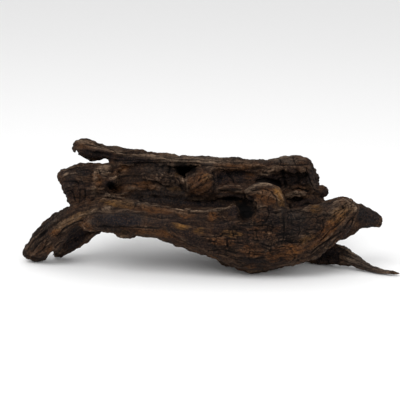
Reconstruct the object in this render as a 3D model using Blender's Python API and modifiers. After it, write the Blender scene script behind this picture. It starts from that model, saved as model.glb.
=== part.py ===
"""A weathered ebony driftwood trunk, grown as one piece and lying as it was found.

It stands on four places: the foot at the left, the belly in front, the tip of the
spike at the right and a root behind. Units are metres, +Z is up and +Y is the back.
The stations of the limbs are in millimetres from a point on the ground near the
middle of the trunk. The finished wood is then set over its own middle.
"""

from math import radians
from typing import NamedTuple

import bmesh
import bpy
from mathutils import Matrix, Vector

# Driving dimensions, in metres.
TRUNK_LENGTH = 0.450
SKIN_SIZE = 0.0026
FURROW_WIDTH = 0.012
FURROW_STRETCH = 4.0
FURROW_DEPTH = 0.0030
MOST_TRIANGLES = 10400

# How finely the limbs are drawn before they are fused into one skin.
MM = 0.001
SECTION_SIDES = 24
STEPS_BETWEEN = 4
SMOOTHING_PASSES = 2
GROUND_BLOCK = 0.6

TRUNK_NAME = "ebony_trunk"
EBONY_COLOUR = (0.030, 0.018, 0.012, 1.0)
EBONY_ROUGHNESS = 0.72
EBONY_METALLIC = 0.0


class Station(NamedTuple):
    """One oval cross-section of a limb: its middle, its half sizes and its roll in degrees.

    Deep is the half size across the limb, level with the ground, and tall the one at
    right angles to it. A limb that runs towards the back has its deep side along X.
    """

    x: float
    y: float
    z: float
    deep: float
    tall: float
    roll: float = 0.0


# The wood that grew, limb by limb, before weather hollowed it.
LIMBS = {
    "front_lobe": [
        Station(-154, -22, 57, 6, 5),
        Station(-147, -25, 58, 12, 10),
        Station(-133, -29, 63, 17, 13),
        Station(-115, -34, 64, 20, 13.5),
        Station(-70, -39, 62.5, 22, 14.5),
        Station(-41, -41, 57, 24, 17.5),
        Station(-12, -41, 50, 27, 21, 3),
        Station(11, -40, 45, 29, 26, 6),
        Station(35, -39, 41, 32, 35.5, 9),
        Station(52, -38, 40.5, 33, 38.5, 10),
        Station(76, -37, 43.5, 33, 35.5, 8),
        Station(97, -36, 46, 31, 33, 6),
        Station(115, -36, 51.5, 27, 30, 3),
        Station(131, -35, 60, 22, 25.5),
        Station(145, -36, 70, 18, 22),
        Station(155, -37, 76, 15, 19),
        Station(164, -37, 77, 11, 14),
        Station(169, -36, 76, 6, 7),
    ],
    "foot": [
        Station(-122, -10, 74, 14, 11),
        Station(-137, -12, 72, 16, 12),
        Station(-153, -11, 66, 17, 13),
        Station(-168, -9, 57, 18, 15),
        Station(-180, -6, 47, 18, 16),
        Station(-193, -1, 34, 17, 18),
        Station(-206, 5, 21.3, 15, 19),
        Station(-216, 10, 12.4, 13, 14.6),
        Station(-225.5, 13, 8.5, 10, 8),
    ],
    "foot_back_rib": [
        Station(-156, 2, 74, 7, 6),
        Station(-172, 3, 65, 7, 6),
        Station(-191, 6, 53.5, 7, 7),
        Station(-208, 10, 36, 7, 7),
        Station(-221, 13, 19.5, 7, 6),
        Station(-227, 14, 11.5, 6, 5),
    ],
    "foot_web": [
        Station(-128, 4, 66, 16, 12),
        Station(-143, 7, 56, 14, 14),
        Station(-157, 12, 40, 11, 16),
        Station(-171, 17, 25, 9, 15),
        Station(-182, 22, 15, 8, 11),
        Station(-189, 25, 8, 7, 7),
    ],
    "left_lobe": [
        Station(-185, 18, 106, 8, 6),
        Station(-181, 18, 105, 16, 10),
        Station(-174, 18, 103, 21, 15.5),
        Station(-166, 18, 99, 25, 20.5),
        Station(-150, 19, 96, 28, 24.5),
        Station(-134, 21, 95, 28, 24.5),
        Station(-116, 24, 94, 26, 21),
    ],
    "back_wall": [
        Station(-139, 30, 86, 22, 22),
        Station(-120, 36, 85, 24, 27),
        Station(-98, 39, 84, 25, 31),
        Station(-74, 42, 80, 27, 36),
        Station(-37, 44, 74, 28, 43),
        Station(0, 45, 69, 29, 47),
        Station(38, 45, 64, 30, 51),
        Station(75, 43, 63, 30, 54),
        Station(102, 40, 65, 29, 52),
        Station(116, 38, 64, 27, 46),
        Station(126, 36, 62, 24, 37),
        Station(132, 34, 62, 18, 24),
        Station(136, 32, 62, 11, 12),
    ],
    "stick": [
        Station(-169, 38, 135, 4, 6),
        Station(-165, 38, 136, 7, 10),
        Station(-157, 38, 136.5, 9, 12),
        Station(-144, 38, 133, 10, 11.5),
        Station(-134, 38, 131, 10, 10.5),
        Station(-124, 38, 129, 11, 9),
        Station(-110, 38, 125.5, 12, 9),
        Station(-79, 37, 124, 12, 8.5),
        Station(-49, 36, 120, 12, 7),
        Station(-12, 36, 118, 13, 7),
        Station(25, 37, 115, 14, 7),
        Station(64, 38, 112, 15, 9),
    ],
    "right_top_lobe": [
        Station(64, 38, 105, 17, 14),
        Station(84, 38, 109, 19, 15),
        Station(98, 37, 112, 20, 15),
        Station(110, 37, 112, 18, 14),
        Station(118, 36, 109, 14, 10),
        Station(122, 36, 105, 9, 6),
    ],
    "right_knob": [
        Station(118, 30, 82, 10, 10),
        Station(133, 30, 84, 7, 7),
        Station(143, 29, 85, 4.5, 4.4),
    ],
    "right_low_knob": [
        Station(118, 25, 70, 12, 10),
        Station(132, 24, 69, 8, 7),
        Station(142, 23, 68, 4, 3.7),
    ],
    "beak": [
        Station(142, -22, 57, 18, 20),
        Station(160, -20, 62.5, 15, 20.5),
        Station(172, -19, 65, 13, 16),
        Station(183, -19, 64, 11, 12.5),
        Station(193, -19, 61.5, 8.5, 9.8),
        Station(200.5, -19, 59, 6.5, 6.5),
    ],
    "spike": [
        Station(118, 10, 12.5, 14, 12),
        Station(134, 3, 11.5, 12, 13),
        Station(145, -5, 13.5, 10, 12),
        Station(158, -14, 13, 8.5, 10),
        Station(169, -22, 10.5, 6.5, 8),
        Station(180, -29, 7.5, 5, 6),
        Station(195, -38, 5, 3.8, 3.9),
        Station(210, -43, 3.6, 3.2, 3),
        Station(222, -46, 3, 2.8, 2.5),
    ],
    "spike_upper_barb": [
        Station(145, -8, 25, 4, 3),
        Station(154, -10, 25, 3, 2.4),
        Station(162, -12, 24, 2, 1.8),
    ],
    "spike_lower_barb": [
        Station(162, -16, 19, 4, 3),
        Station(170, -21, 18, 3, 2.4),
        Station(177, -24, 15, 2, 1.8),
    ],
    "heartwood": [
        Station(-160, 4, 79, 8, 6),
        Station(-146, 2, 74, 16, 9),
        Station(-127, -2, 66, 26, 12),
        Station(-96, 3, 61, 32, 15),
        Station(-60, 5, 55, 36, 17),
        Station(-24, 5, 51, 38, 21),
        Station(12, 5, 44, 40, 27),
        Station(49, 5, 38, 42, 32),
        Station(85, 5, 37, 41, 30),
        Station(115, 3, 42, 34, 23),
        Station(135, 2, 51, 24, 16),
    ],
    "belly_keel": [
        Station(-4, -18, 36, 10, 12),
        Station(22, -20, 24, 15, 18),
        Station(52, -21, 17, 18, 18.6),
        Station(82, -21, 20, 16, 17),
        Station(106, -18, 34, 11, 12),
    ],
    "back_upper_rib": [
        Station(-128, 50, 98, 6, 6),
        Station(-100, 58, 98, 9, 9),
        Station(-50, 64, 94, 10, 10),
        Station(5, 66, 88, 10, 11),
        Station(60, 66, 80, 10, 12),
        Station(104, 58, 72, 8, 9),
        Station(124, 48, 66, 5, 6),
    ],
    "back_lower_rib": [
        Station(-110, 48, 66, 6, 6),
        Station(-80, 56, 60, 9, 8),
        Station(-40, 62, 52, 10, 9),
        Station(-5, 64, 46, 11, 11),
        Station(25, 64, 42, 12, 13),
    ],
    "back_stub": [
        Station(66, 58, 96, 11, 10),
        Station(69, 68, 99, 9, 8),
        Station(71, 75, 101, 7, 6),
    ],
    "rear_root": [
        Station(20, 50, 50, 18, 19),
        Station(40, 64, 26, 17, 19),
        Station(58, 72, 10, 13, 14),
        Station(70, 75, 0, 9, 9),
    ],
}

# What rotted away, hollow by hollow.
HOLLOWS = {
    "channel": [
        Station(-118, 4, 87, 9, 6),
        Station(-96, 0, 86, 14, 10),
        Station(-72, -4, 86, 17, 13),
        Station(-42, -6, 86, 18, 16),
        Station(-12, -6, 84, 18, 17),
        Station(12, -5, 85, 17, 16),
        Station(36, 0, 86, 16, 17),
        Station(60, 8, 89, 17, 19),
        Station(85, 11, 90, 19, 22),
        Station(103, 12, 88, 18, 21),
        Station(114, 13, 86, 13, 15),
        Station(120, 14, 84, 7, 8),
    ],
    "under_stick": [
        Station(-180, 40, 123.5, 30, 2.8),
        Station(-160, 40, 120.8, 30, 2.8),
        Station(-140, 40, 119.6, 30, 3.2),
        Station(-124, 40, 119.4, 26, 3.3),
        Station(-114, 40, 118.8, 20, 2.8),
    ],
    "rim_hole": [
        Station(-30, 6, 114, 19, 8),
        Station(-30, 26, 110, 17, 8),
        Station(-29, 42, 105, 12, 6),
        Station(-29, 50, 102, 6, 4),
    ],
    "rim_hole_toe": [
        Station(-28, 6, 104, 6, 8),
        Station(-28, 28, 102, 6, 7),
        Station(-28, 40, 100, 4, 5),
    ],
    "eye_hole": [
        Station(-121, -22, 101, 7, 5.5),
        Station(-120, 4, 95, 6.5, 5),
        Station(-119, 20, 91, 4, 4),
    ],
    "ear_pit": [
        Station(41, -72, 84, 8, 9),
        Station(40, -50, 80, 11, 13),
        Station(40, -32, 74, 10, 12),
        Station(40, -16, 68, 6, 7),
    ],
    "foot_groove": [
        Station(-158, -24, 72, 4, 3),
        Station(-172, -25, 64.5, 4.5, 4),
        Station(-186, -20, 55, 4.5, 4),
        Station(-199, -14, 45, 4.5, 4),
        Station(-211, -7, 33, 4, 3.5),
        Station(-216, -4, 26, 3, 2),
    ],
    "foot_cove": [
        Station(-134, -14, 48, 10, 6),
        Station(-150, -10, 42, 12, 8),
        Station(-166, -8, 33, 12, 8),
        Station(-178, -6, 23, 10, 6),
        Station(-188, -4, 12, 12, 4),
        Station(-194, -2, 2, 14, 4),
    ],
    "twist_cove": [
        Station(112, -70, 18, 14, 8),
        Station(128, -68, 30, 12, 8),
        Station(146, -64, 42, 10, 8),
        Station(164, -60, 51, 8, 6),
    ],
    "back_split": [
        Station(-70, 78, 78, 8, 3),
        Station(-40, 74, 74, 9, 5),
        Station(-5, 76, 68, 9, 6),
        Station(30, 76, 63, 9, 5),
        Station(60, 80, 58, 8, 3),
    ],
    "back_pocket": [
        Station(96, 84, 46, 12, 9),
        Station(94, 66, 48, 10, 8),
        Station(92, 54, 50, 5, 5),
    ],
}

# The thin wood that stands up from the hollows' edges.
LATE_LIMBS = {
    "lip": [
        Station(-133, -18, 82, 4, 7),
        Station(-122, -20, 80, 5, 9),
        Station(-106, -22, 77, 5.5, 10),
        Station(-83, -23, 74, 6, 10),
        Station(-59, -24, 70, 6, 10),
        Station(-30, -25, 66, 6.5, 10),
        Station(0, -25, 65, 6.5, 10),
        Station(19, -24, 70, 6, 9),
        Station(31, -20, 76, 5, 6),
    ],
    "foot_front_rib": [
        Station(-116, -24, 80, 5, 5),
        Station(-136, -27, 73, 6, 5),
        Station(-154, -27, 65, 6, 6),
        Station(-171, -25, 55, 6, 6),
        Station(-187, -20, 45, 5, 5),
        Station(-197, -14, 37, 3, 2.4),
    ],
    "arch_lump": [
        Station(-114, -26, 48, 5, 3.5),
        Station(-108, -28, 48, 8, 7),
        Station(-101, -28, 48, 9, 7),
        Station(-92, -28, 50, 8, 6),
        Station(-85, -28, 52, 6, 3.5),
    ],
    "wall_swell": [
        Station(-90, 26, 98, 5, 8),
        Station(-74, 22, 97, 9, 14),
        Station(-58, 21, 94, 10, 17),
        Station(-44, 22, 91, 9, 14),
        Station(-34, 26, 88, 5, 7),
    ],
    "boss": [
        Station(-31, 24, 91, 6, 7),
        Station(-24, 19, 93, 11, 15),
        Station(-11, 17, 94, 13, 18),
        Station(1, 19, 92, 11, 16),
        Station(9, 24, 88, 6, 9),
    ],
    "slit_shelf": [
        Station(8, 20, 92, 6, 4),
        Station(22, 16, 90, 9, 4.5),
        Station(38, 12, 89, 9, 4.5),
        Station(50, 6, 90, 6, 4),
    ],
    "ear": [
        Station(42, -14, 91, 5, 5),
        Station(48, -19, 91, 9, 11),
        Station(58, -24, 90, 12, 14),
        Station(68, -25, 87, 12, 14),
        Station(76, -24, 81, 11, 12),
        Station(82, -22, 74, 9, 8),
    ],
    "ear_rim": [
        Station(38, -22, 95, 4, 2.6),
        Station(47, -27, 101, 5, 3.5),
        Station(58, -29, 103, 5, 3.5),
        Station(67, -29, 100, 5, 3.5),
        Station(75, -28, 93, 5, 3.8),
        Station(79, -27, 85, 5, 3.8),
        Station(83, -26, 76, 4, 3),
    ],
    "twist_ridge": [
        Station(98, -52, 24, 6, 6),
        Station(112, -54, 31, 9, 9),
        Station(126, -52, 42, 10, 10),
        Station(138, -49, 55, 10, 10),
        Station(147, -45, 68, 9, 9),
        Station(152, -41, 80, 6, 7),
    ],
}


def between(before, start, end, after, share):
    """The station a share of the way from start to end, on the smooth curve through all four."""
    squared = share * share
    cubed = squared * share
    weights = (
        (2 * squared - share - cubed) / 2,
        (2 - 5 * squared + 3 * cubed) / 2,
        (share + 4 * squared - 3 * cubed) / 2,
        (cubed - squared) / 2,
    )
    fields = zip(before, start, end, after)
    return Station(*(sum(w * value for w, value in zip(weights, field)) for field in fields))


def drawn_finely(stations):
    """The stations with smooth ones added between them."""
    last = len(stations) - 1
    fine = []
    for index in range(last):
        before, start = stations[max(index - 1, 0)], stations[index]
        end, after = stations[index + 1], stations[min(index + 2, last)]
        for step in range(STEPS_BETWEEN):
            fine.append(between(before, start, end, after, step / STEPS_BETWEEN))
    return fine + [stations[last]]


def middle(station):
    """The middle of a station, in metres."""
    return Vector((station.x, station.y, station.z)) * MM


def seat(station, along):
    """The matrix that lays a unit circle across the limb at a station, stretched to its oval."""
    ahead = along.normalized()
    across = Vector((0, 0, 1)).cross(ahead).normalized()
    upward = ahead.cross(across)
    turned = Matrix((across, upward, ahead)).transposed().to_4x4()
    rolled = Matrix.Rotation(radians(station.roll), 4, "Z")
    stretched = Matrix.Diagonal((station.deep * MM, station.tall * MM, 1, 1))
    return Matrix.Translation(middle(station)) @ turned @ rolled @ stretched


def grow(shape, stations):
    """Add one limb to a bmesh, as a loft through its stations with both ends closed."""
    fine = drawn_finely(stations)
    last = len(fine) - 1
    edge_before = []
    for index, station in enumerate(fine):
        along = middle(fine[min(index + 1, last)]) - middle(fine[max(index - 1, 0)])
        ring = bmesh.ops.create_circle(
            shape,
            cap_ends=index in (0, last),
            segments=SECTION_SIDES,
            radius=1.0,
            matrix=seat(station, along),
        )["verts"]
        edge = list({e for v in ring for e in v.link_edges})
        if edge_before:
            bmesh.ops.bridge_loops(shape, edges=edge_before + edge)
        edge_before = edge


def object_of(shape, name, collection):
    """Turn a finished bmesh into an object in a collection."""
    bmesh.ops.recalc_face_normals(shape, faces=shape.faces)
    mesh = bpy.data.meshes.new(name)
    shape.to_mesh(mesh)
    shape.free()
    made = bpy.data.objects.new(name, mesh)
    collection.objects.link(made)
    return made


def make_limbs(name, limbs, collection):
    """One object that holds a loft for each limb, fused into one closed skin."""
    shape = bmesh.new()
    for stations in limbs.values():
        grow(shape, stations)
    wood = object_of(shape, name, collection)
    fuse(wood, "fused")
    return wood


def make_ground(collection):
    """The block below the ground, which planes the wood flat where it stands."""
    shape = bmesh.new()
    sized = Matrix.Diagonal((GROUND_BLOCK, GROUND_BLOCK, GROUND_BLOCK, 1))
    bmesh.ops.create_cube(shape, size=1.0, matrix=Matrix.Translation((0, 0, -GROUND_BLOCK / 2)) @ sized)
    return object_of(shape, "ground", collection)


def fuse(wood, name):
    """Fuse what overlaps in an object into one closed skin."""
    skin = wood.modifiers.new(name, "REMESH")
    skin.mode = "VOXEL"
    skin.voxel_size = SKIN_SIZE


def combine(wood, other, name, operation):
    """Add another object's volume to the wood, or take it out."""
    combined = wood.modifiers.new(name, "BOOLEAN")
    combined.operation = operation
    combined.solver = "EXACT"
    combined.object = other


def weather(wood, collection):
    """Soften the fused skin and raise the broad furrows that run along the grain."""
    worn = wood.modifiers.new("worn", "SMOOTH")
    worn.factor = 0.5
    worn.iterations = SMOOTHING_PASSES
    furrows = bpy.data.textures.new("furrows", "CLOUDS")
    furrows.noise_scale = FURROW_WIDTH
    grain = bpy.data.objects.new("grain", None)
    grain.scale = (FURROW_STRETCH, 1, 1)
    collection.objects.link(grain)
    raised = wood.modifiers.new("furrows", "DISPLACE")
    raised.texture = furrows
    raised.texture_coords = "OBJECT"
    raised.texture_coords_object = grain
    raised.strength = FURROW_DEPTH


def thin_out(wood):
    """Leave only as many faces as the shape needs."""
    skin = wood.evaluated_get(bpy.context.evaluated_depsgraph_get()).to_mesh()
    skin.calc_loop_triangles()
    fewer = wood.modifiers.new("fewer_faces", "DECIMATE")
    fewer.ratio = min(1.0, MOST_TRIANGLES / len(skin.loop_triangles))
    fewer.use_collapse_triangulate = True


def settle(wood):
    """Give the wood its final mesh, at its true length, over the middle of the ground it covers."""
    final = bpy.data.meshes.new_from_object(wood.evaluated_get(bpy.context.evaluated_depsgraph_get()))
    lows = Vector([min(v.co[axis] for v in final.vertices) for axis in range(3)])
    highs = Vector([max(v.co[axis] for v in final.vertices) for axis in range(3)])
    centre = (lows + highs) / 2
    final.transform(Matrix.Translation((-centre.x, -centre.y, -lows.z)))
    final.transform(Matrix.Scale(TRUNK_LENGTH / (highs.x - lows.x), 4))
    wood.modifiers.clear()
    wood.data = final


def make_ebony():
    """Old ebony: near black, dry and dull."""
    ebony = bpy.data.materials.new("weathered_ebony")
    ebony.use_nodes = True
    surface = ebony.node_tree.nodes["Principled BSDF"]
    surface.inputs["Base Color"].default_value = EBONY_COLOUR
    surface.inputs["Roughness"].default_value = EBONY_ROUGHNESS
    surface.inputs["Metallic"].default_value = EBONY_METALLIC
    return ebony


def new_collection(name):
    """A collection in the scene."""
    made = bpy.data.collections.new(name)
    bpy.context.scene.collection.children.link(made)
    return made


def main():
    """Grow the trunk, hollow it, weather it and stand it on the ground."""
    for old in list(bpy.data.objects):
        bpy.data.objects.remove(old)
    parts = new_collection("ebony_wood_trunk")
    cutters = new_collection("cutters")

    hollows = make_limbs("hollows", HOLLOWS, cutters)
    late_limbs = make_limbs("late_limbs", LATE_LIMBS, cutters)
    ground = make_ground(cutters)
    for helper in (hollows, late_limbs, ground):
        helper.hide_render = True
        helper.display_type = "WIRE"

    trunk = make_limbs(TRUNK_NAME, LIMBS, parts)
    combine(trunk, hollows, "hollowed", "DIFFERENCE")
    combine(trunk, late_limbs, "grown_over", "UNION")
    fuse(trunk, "fused_again")
    weather(trunk, cutters)
    thin_out(trunk)
    combine(trunk, ground, "planed", "DIFFERENCE")
    settle(trunk)
    trunk.data.materials.clear()
    trunk.data.materials.append(make_ebony())


main()
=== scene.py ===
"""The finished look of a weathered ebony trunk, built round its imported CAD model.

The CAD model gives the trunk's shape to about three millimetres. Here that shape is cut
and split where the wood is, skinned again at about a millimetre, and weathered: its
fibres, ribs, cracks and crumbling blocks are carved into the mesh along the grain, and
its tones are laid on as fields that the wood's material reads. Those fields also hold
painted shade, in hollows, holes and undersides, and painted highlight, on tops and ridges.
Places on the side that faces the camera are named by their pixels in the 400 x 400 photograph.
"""

import logging
from dataclasses import dataclass
from enum import Enum
from itertools import product
from math import cos, radians, sin

import bmesh
import bpy
import numpy as np
from mathutils import Matrix, Vector
from mathutils.bvhtree import BVHTree
from mathutils.kdtree import KDTree


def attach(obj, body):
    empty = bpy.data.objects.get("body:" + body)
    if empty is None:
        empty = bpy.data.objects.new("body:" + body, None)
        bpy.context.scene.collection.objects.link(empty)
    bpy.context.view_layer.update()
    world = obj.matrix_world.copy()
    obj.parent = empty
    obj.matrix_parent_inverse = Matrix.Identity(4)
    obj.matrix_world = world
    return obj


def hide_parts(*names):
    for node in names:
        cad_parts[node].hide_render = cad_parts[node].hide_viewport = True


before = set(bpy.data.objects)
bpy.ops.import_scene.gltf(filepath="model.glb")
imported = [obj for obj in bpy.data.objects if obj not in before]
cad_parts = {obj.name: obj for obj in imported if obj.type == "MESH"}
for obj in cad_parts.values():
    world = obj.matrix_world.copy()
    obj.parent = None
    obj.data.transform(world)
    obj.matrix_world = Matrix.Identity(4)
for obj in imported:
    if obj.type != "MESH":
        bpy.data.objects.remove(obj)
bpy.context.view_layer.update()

MM = 0.001
LOG = logging.getLogger("ebony_trunk")
Points = tuple[tuple[float, ...], ...]
Place = tuple[float, float, float]


def linear(colour: str) -> tuple[float, float, float, float]:
    """Turn an sRGB hex colour into linear light.

    Args:
        colour: Six hex digits after a #.

    Returns:
        Red, green, blue and an alpha of one, as shaders take them.
    """
    parts = [int(colour[i:i + 2], 16) / 255 for i in (1, 3, 5)]
    light = [p / 12.92 if p <= 0.04045 else ((p + 0.055) / 1.055) ** 2.4 for p in parts]
    return (*light, 1.0)


def add_node(
        tree: bpy.types.NodeTree, kind: str, settings: dict | None = None, sockets: dict | None = None,
) -> bpy.types.Node:
    """Add one node to a tree.

    Args:
        tree: The tree that takes the node.
        kind: The node's Blender type.
        settings: Values for the node's own properties.
        sockets: For each input, by name or number, a value or the output that feeds it.

    Returns:
        The new node.
    """
    node = tree.nodes.new(kind)
    for name, value in (settings or {}).items():
        setattr(node, name, value)
    for name, value in (sockets or {}).items():
        if isinstance(value, bpy.types.NodeSocket):
            tree.links.new(value, node.inputs[name])
        else:
            node.inputs[name].default_value = value
    return node


def ease(values: np.ndarray, low: float, high: float) -> np.ndarray:
    """Go smoothly from 0 at low to 1 at high, and stay there."""
    share = np.clip((values - low) / (high - low), 0.0, 1.0)
    return share * share * (3.0 - 2.0 * share)


def unit(rows: np.ndarray, least: float = 1e-9) -> np.ndarray:
    """Bring each row to length one. The least length that is added keeps an empty row finite."""
    return rows / (np.linalg.norm(rows, axis=1)[:, None] + least)


def read_rows(parts: bpy.types.bpy_prop_collection, name: str, width: int, kind: type) -> np.ndarray:
    """Read one property of all points, edges or corners of a mesh.

    Args:
        parts: The points, edges or corners.
        name: The property's name.
        width: How many numbers it has.
        kind: The type of its numbers.

    Returns:
        One row for each part.
    """
    flat = np.zeros(len(parts) * width, kind)
    parts.foreach_get(name, flat)
    return flat.reshape(-1, width)


def show(name: str, data: bpy.types.ID | bmesh.types.BMesh) -> bpy.types.Object:
    """Make an object and put it in the scene.

    Args:
        name: The object's name.
        data: Its mesh, lamp or camera, or a bmesh, which is turned into a mesh and freed.

    Returns:
        The object.
    """
    if isinstance(data, bmesh.types.BMesh):
        shape, data = data, bpy.data.meshes.new(name)
        shape.to_mesh(data)
        shape.free()
    made = bpy.data.objects.new(name, data)
    bpy.context.scene.collection.objects.link(made)
    return made


@dataclass(frozen=True)
class PhotoCamera:
    """The camera that took the photograph, in metres and pixels."""

    side: int = 400
    target: Place = (-0.01008, 0.0, 0.0785)
    elevation: float = 15.0
    distance: float = 1.3
    sensor: float = 36.0
    lens: float = 97.5
    sight: float = 20.0

    @property
    def axes(self) -> tuple[Vector, Vector, Vector]:
        """Directions ahead, to the right and up, as the camera sees them."""
        tilt = radians(self.elevation)
        return Vector((0, cos(tilt), -sin(tilt))), Vector((1, 0, 0)), Vector((0, sin(tilt), cos(tilt)))

    @property
    def eye(self) -> Vector:
        """Where the camera stands."""
        return Vector(self.target) - self.axes[0] * self.distance

    @property
    def focal(self) -> float:
        """The focal length in pixels."""
        return self.side * self.lens / self.sensor

    def ray(self, px: float, row: float) -> Vector:
        """The direction in which a pixel of the photograph looks.

        Args:
            px: Column in the photograph.
            row: Row in the photograph.

        Returns:
            The direction, of length one.
        """
        ahead, right, up = self.axes
        half = self.side / 2
        return (ahead + right * ((px - half) / self.focal) + up * ((half - row) / self.focal)).normalized()

    def at(self, px: float, row: float, y: float) -> Vector:
        """The point that a pixel sees on the upright plane a distance y in millimetres behind the middle.

        Args:
            px: Column in the photograph.
            row: Row in the photograph.
            y: Place of the plane, in millimetres.

        Returns:
            The point, in millimetres.
        """
        look = self.ray(px, row)
        return (self.eye + look * ((y * MM - self.eye.y) / look.y)) / MM

    def pixels(self, points: np.ndarray) -> tuple[np.ndarray, np.ndarray]:
        """Where points in millimetres lie in the photograph.

        Args:
            points: Places, one a row.

        Returns:
            Columns and rows side by side, and the distances along the view in millimetres.
        """
        ahead, right, up = (np.array(axis) for axis in self.axes)
        offset = points - np.array(self.eye) / MM
        depth = offset @ ahead
        half = self.side / 2
        columns = half + self.focal * (offset @ right) / depth
        rows = half - self.focal * (offset @ up) / depth
        return np.stack((columns, rows), 1), depth

    def place(self) -> bpy.types.Object:
        """Stand the camera in the scene and make it the scene's own.

        Returns:
            The camera.
        """
        camera = show("photo_camera", bpy.data.cameras.new("photo_camera"))
        camera.location = self.eye
        camera.rotation_euler = self.axes[0].to_track_quat("-Z", "Y").to_euler()
        camera.data.sensor_width = self.sensor
        camera.data.lens = self.lens
        camera.data.clip_end = self.sight
        bpy.context.scene.camera = camera
        return camera


@dataclass(frozen=True)
class PaperFloor:
    """Matt white background paper, coated and rolled: pale, with almost no shine."""

    colour: str = "#f4f4f4"
    roughness: float = 0.9
    gloss: float = 0.2

    def make(self) -> bpy.types.Material:
        """Make the paper's material.

        Returns:
            The material.
        """
        paper = bpy.data.materials.new("coated_white_paper")
        paper.use_nodes = True
        surface = paper.node_tree.nodes["Principled BSDF"]
        surface.inputs["Base Color"].default_value = linear(self.colour)
        surface.inputs["Roughness"].default_value = self.roughness
        surface.inputs["Specular IOR Level"].default_value = self.gloss
        return paper


@dataclass(frozen=True)
class Softbox:
    """One square lamp with a soft front: its place and its side in metres, and its power in watts."""

    name: str
    place: Place
    size: float
    power: float

    def hang(self, aim: Place) -> bpy.types.Object:
        """Hang the lamp.

        Args:
            aim: The place that it lights, in metres.

        Returns:
            The lamp.
        """
        lamp = show(self.name, bpy.data.lights.new(self.name, "AREA"))
        lamp.data.size = self.size
        lamp.data.energy = self.power
        lamp.location = self.place
        lamp.rotation_euler = (Vector(aim) - Vector(self.place)).to_track_quat("-Z", "Y").to_euler()
        return lamp


@dataclass(frozen=True)
class Studio:
    """A plain pale floor and soft light, as in a product photograph. Sizes are in metres."""

    floor_size: float = 12.0
    floor_drop: float = 0.0002
    sky: str = "#ffffff"
    sky_strength: float = 0.85
    aim: Place = (0, 0, 0.06)
    softboxes: tuple[Softbox, ...] = (
        Softbox("key", (-0.9, -1.3, 1.9), 1.4, 30.0), Softbox("fill", (1.5, -1.2, 1.0), 1.2, 9.0))

    def build(self) -> None:
        """Lay the floor, light the sky and hang the lamps."""
        self.lay_floor()
        self.light_sky()
        for softbox in self.softboxes:
            softbox.hang(self.aim)
        bpy.context.scene.view_settings.view_transform = "Standard"

    def lay_floor(self) -> bpy.types.Object:
        """Lay the paper that the trunk lies on.

        Returns:
            The floor.
        """
        shape = bmesh.new()
        bmesh.ops.create_grid(shape, x_segments=1, y_segments=1, size=self.floor_size / 2)
        floor = show("floor", shape)
        floor.data.materials.append(PaperFloor().make())
        floor.location.z = -self.floor_drop
        return floor

    def light_sky(self) -> None:
        """Surround the scene with even white light."""
        world = bpy.data.worlds.new("white_tent")
        world.use_nodes = True
        back = world.node_tree.nodes["Background"]
        back.inputs["Color"].default_value = linear(self.sky)
        back.inputs["Strength"].default_value = self.sky_strength
        bpy.context.scene.world = world


class SolidNoise:
    """Seeded random numbers that fill space and change smoothly from place to place."""

    SIDE = 64
    TURN = np.array(Matrix.Rotation(radians(37), 3, Vector((0.3, 0.5, 0.8))))
    FINER = 2.03
    SHIFT = 11.7
    SPREAD = 0.42
    SPOT_LAGS = (0, 7919, 15331)
    NUMBER_LAG = 4241

    def __init__(self, seed: int) -> None:
        """Draw the lattice of random numbers.

        Args:
            seed: What the numbers are drawn from.
        """
        draws = np.random.default_rng(seed)
        self.lattice = draws.uniform(-1, 1, self.SIDE**3).astype(np.float32)

    def read(self, cells: np.ndarray) -> np.ndarray:
        """Read the noise.

        Args:
            cells: Places, one a row, with one lattice cell as the unit.

        Returns:
            A number from -1 to 1 for each place.
        """
        side = self.SIDE
        whole = np.floor(cells)
        part = (cells - whole).astype(np.float32)
        part = part * part * (3 - 2 * part)
        near = whole.astype(np.int32) & (side - 1)
        far = (near + 1) & (side - 1)
        ends = [(near[:, a] * side ** (2 - a), far[:, a] * side ** (2 - a)) for a in range(3)]
        total = np.zeros(len(cells), np.float32)
        for i, j, k in product((0, 1), repeat=3):
            share = [part[:, a] if far_end else 1 - part[:, a] for a, far_end in enumerate((i, j, k))]
            total += share[0] * share[1] * share[2] * self.lattice[ends[0][i] + ends[1][j] + ends[2][k]]
        return total

    def fractal(self, cells: np.ndarray, octaves: int = 3) -> np.ndarray:
        """Add ever finer and weaker noise.

        Args:
            cells: Places, as in read.
            octaves: How many layers are added, each twice as fine.

        Returns:
            The sum, about -1 to 1.
        """
        total = np.zeros(len(cells), np.float32)
        turned = cells @ self.TURN
        for octave in range(octaves):
            total += 0.5**octave * self.read(turned)
            turned = (turned * self.FINER + self.SHIFT) @ self.TURN
        return total

    def blocks(self, cells: np.ndarray, squareness: float = 4.0) -> tuple[np.ndarray, np.ndarray]:
        """Break space into irregular blocks.

        Args:
            cells: Places, with one block as the unit.
            squareness: Two gives round cells, and more gives squarer ones.

        Returns:
            How far each place is from the crack between two blocks, and a number for its block.
        """
        side = self.SIDE
        whole = np.floor(cells).astype(np.int32)
        first = np.full(len(cells), 9.0, np.float32)
        second = first.copy()
        own = np.zeros(len(cells), np.float32)
        for step in product((-1, 0, 1), repeat=3):
            block = whole + np.array(step)
            wrapped = block & (side - 1)
            key = (wrapped[:, 0] * side + wrapped[:, 1]) * side + wrapped[:, 2]
            spots = [self.lattice[(key + lag) % side**3] * self.SPREAD + 0.5 for lag in self.SPOT_LAGS]
            gaps = [np.abs(block[:, a] + spots[a] - cells[:, a]) ** squareness for a in range(3)]
            away = (gaps[0] + gaps[1] + gaps[2]) ** (1 / squareness)
            nearer = away < first
            second = np.where(nearer, first, np.minimum(second, away))
            own = np.where(nearer, self.lattice[(key + self.NUMBER_LAG) % side**3], own)
            first = np.where(nearer, away, first)
        return (second - first).astype(np.float32), own


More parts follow.
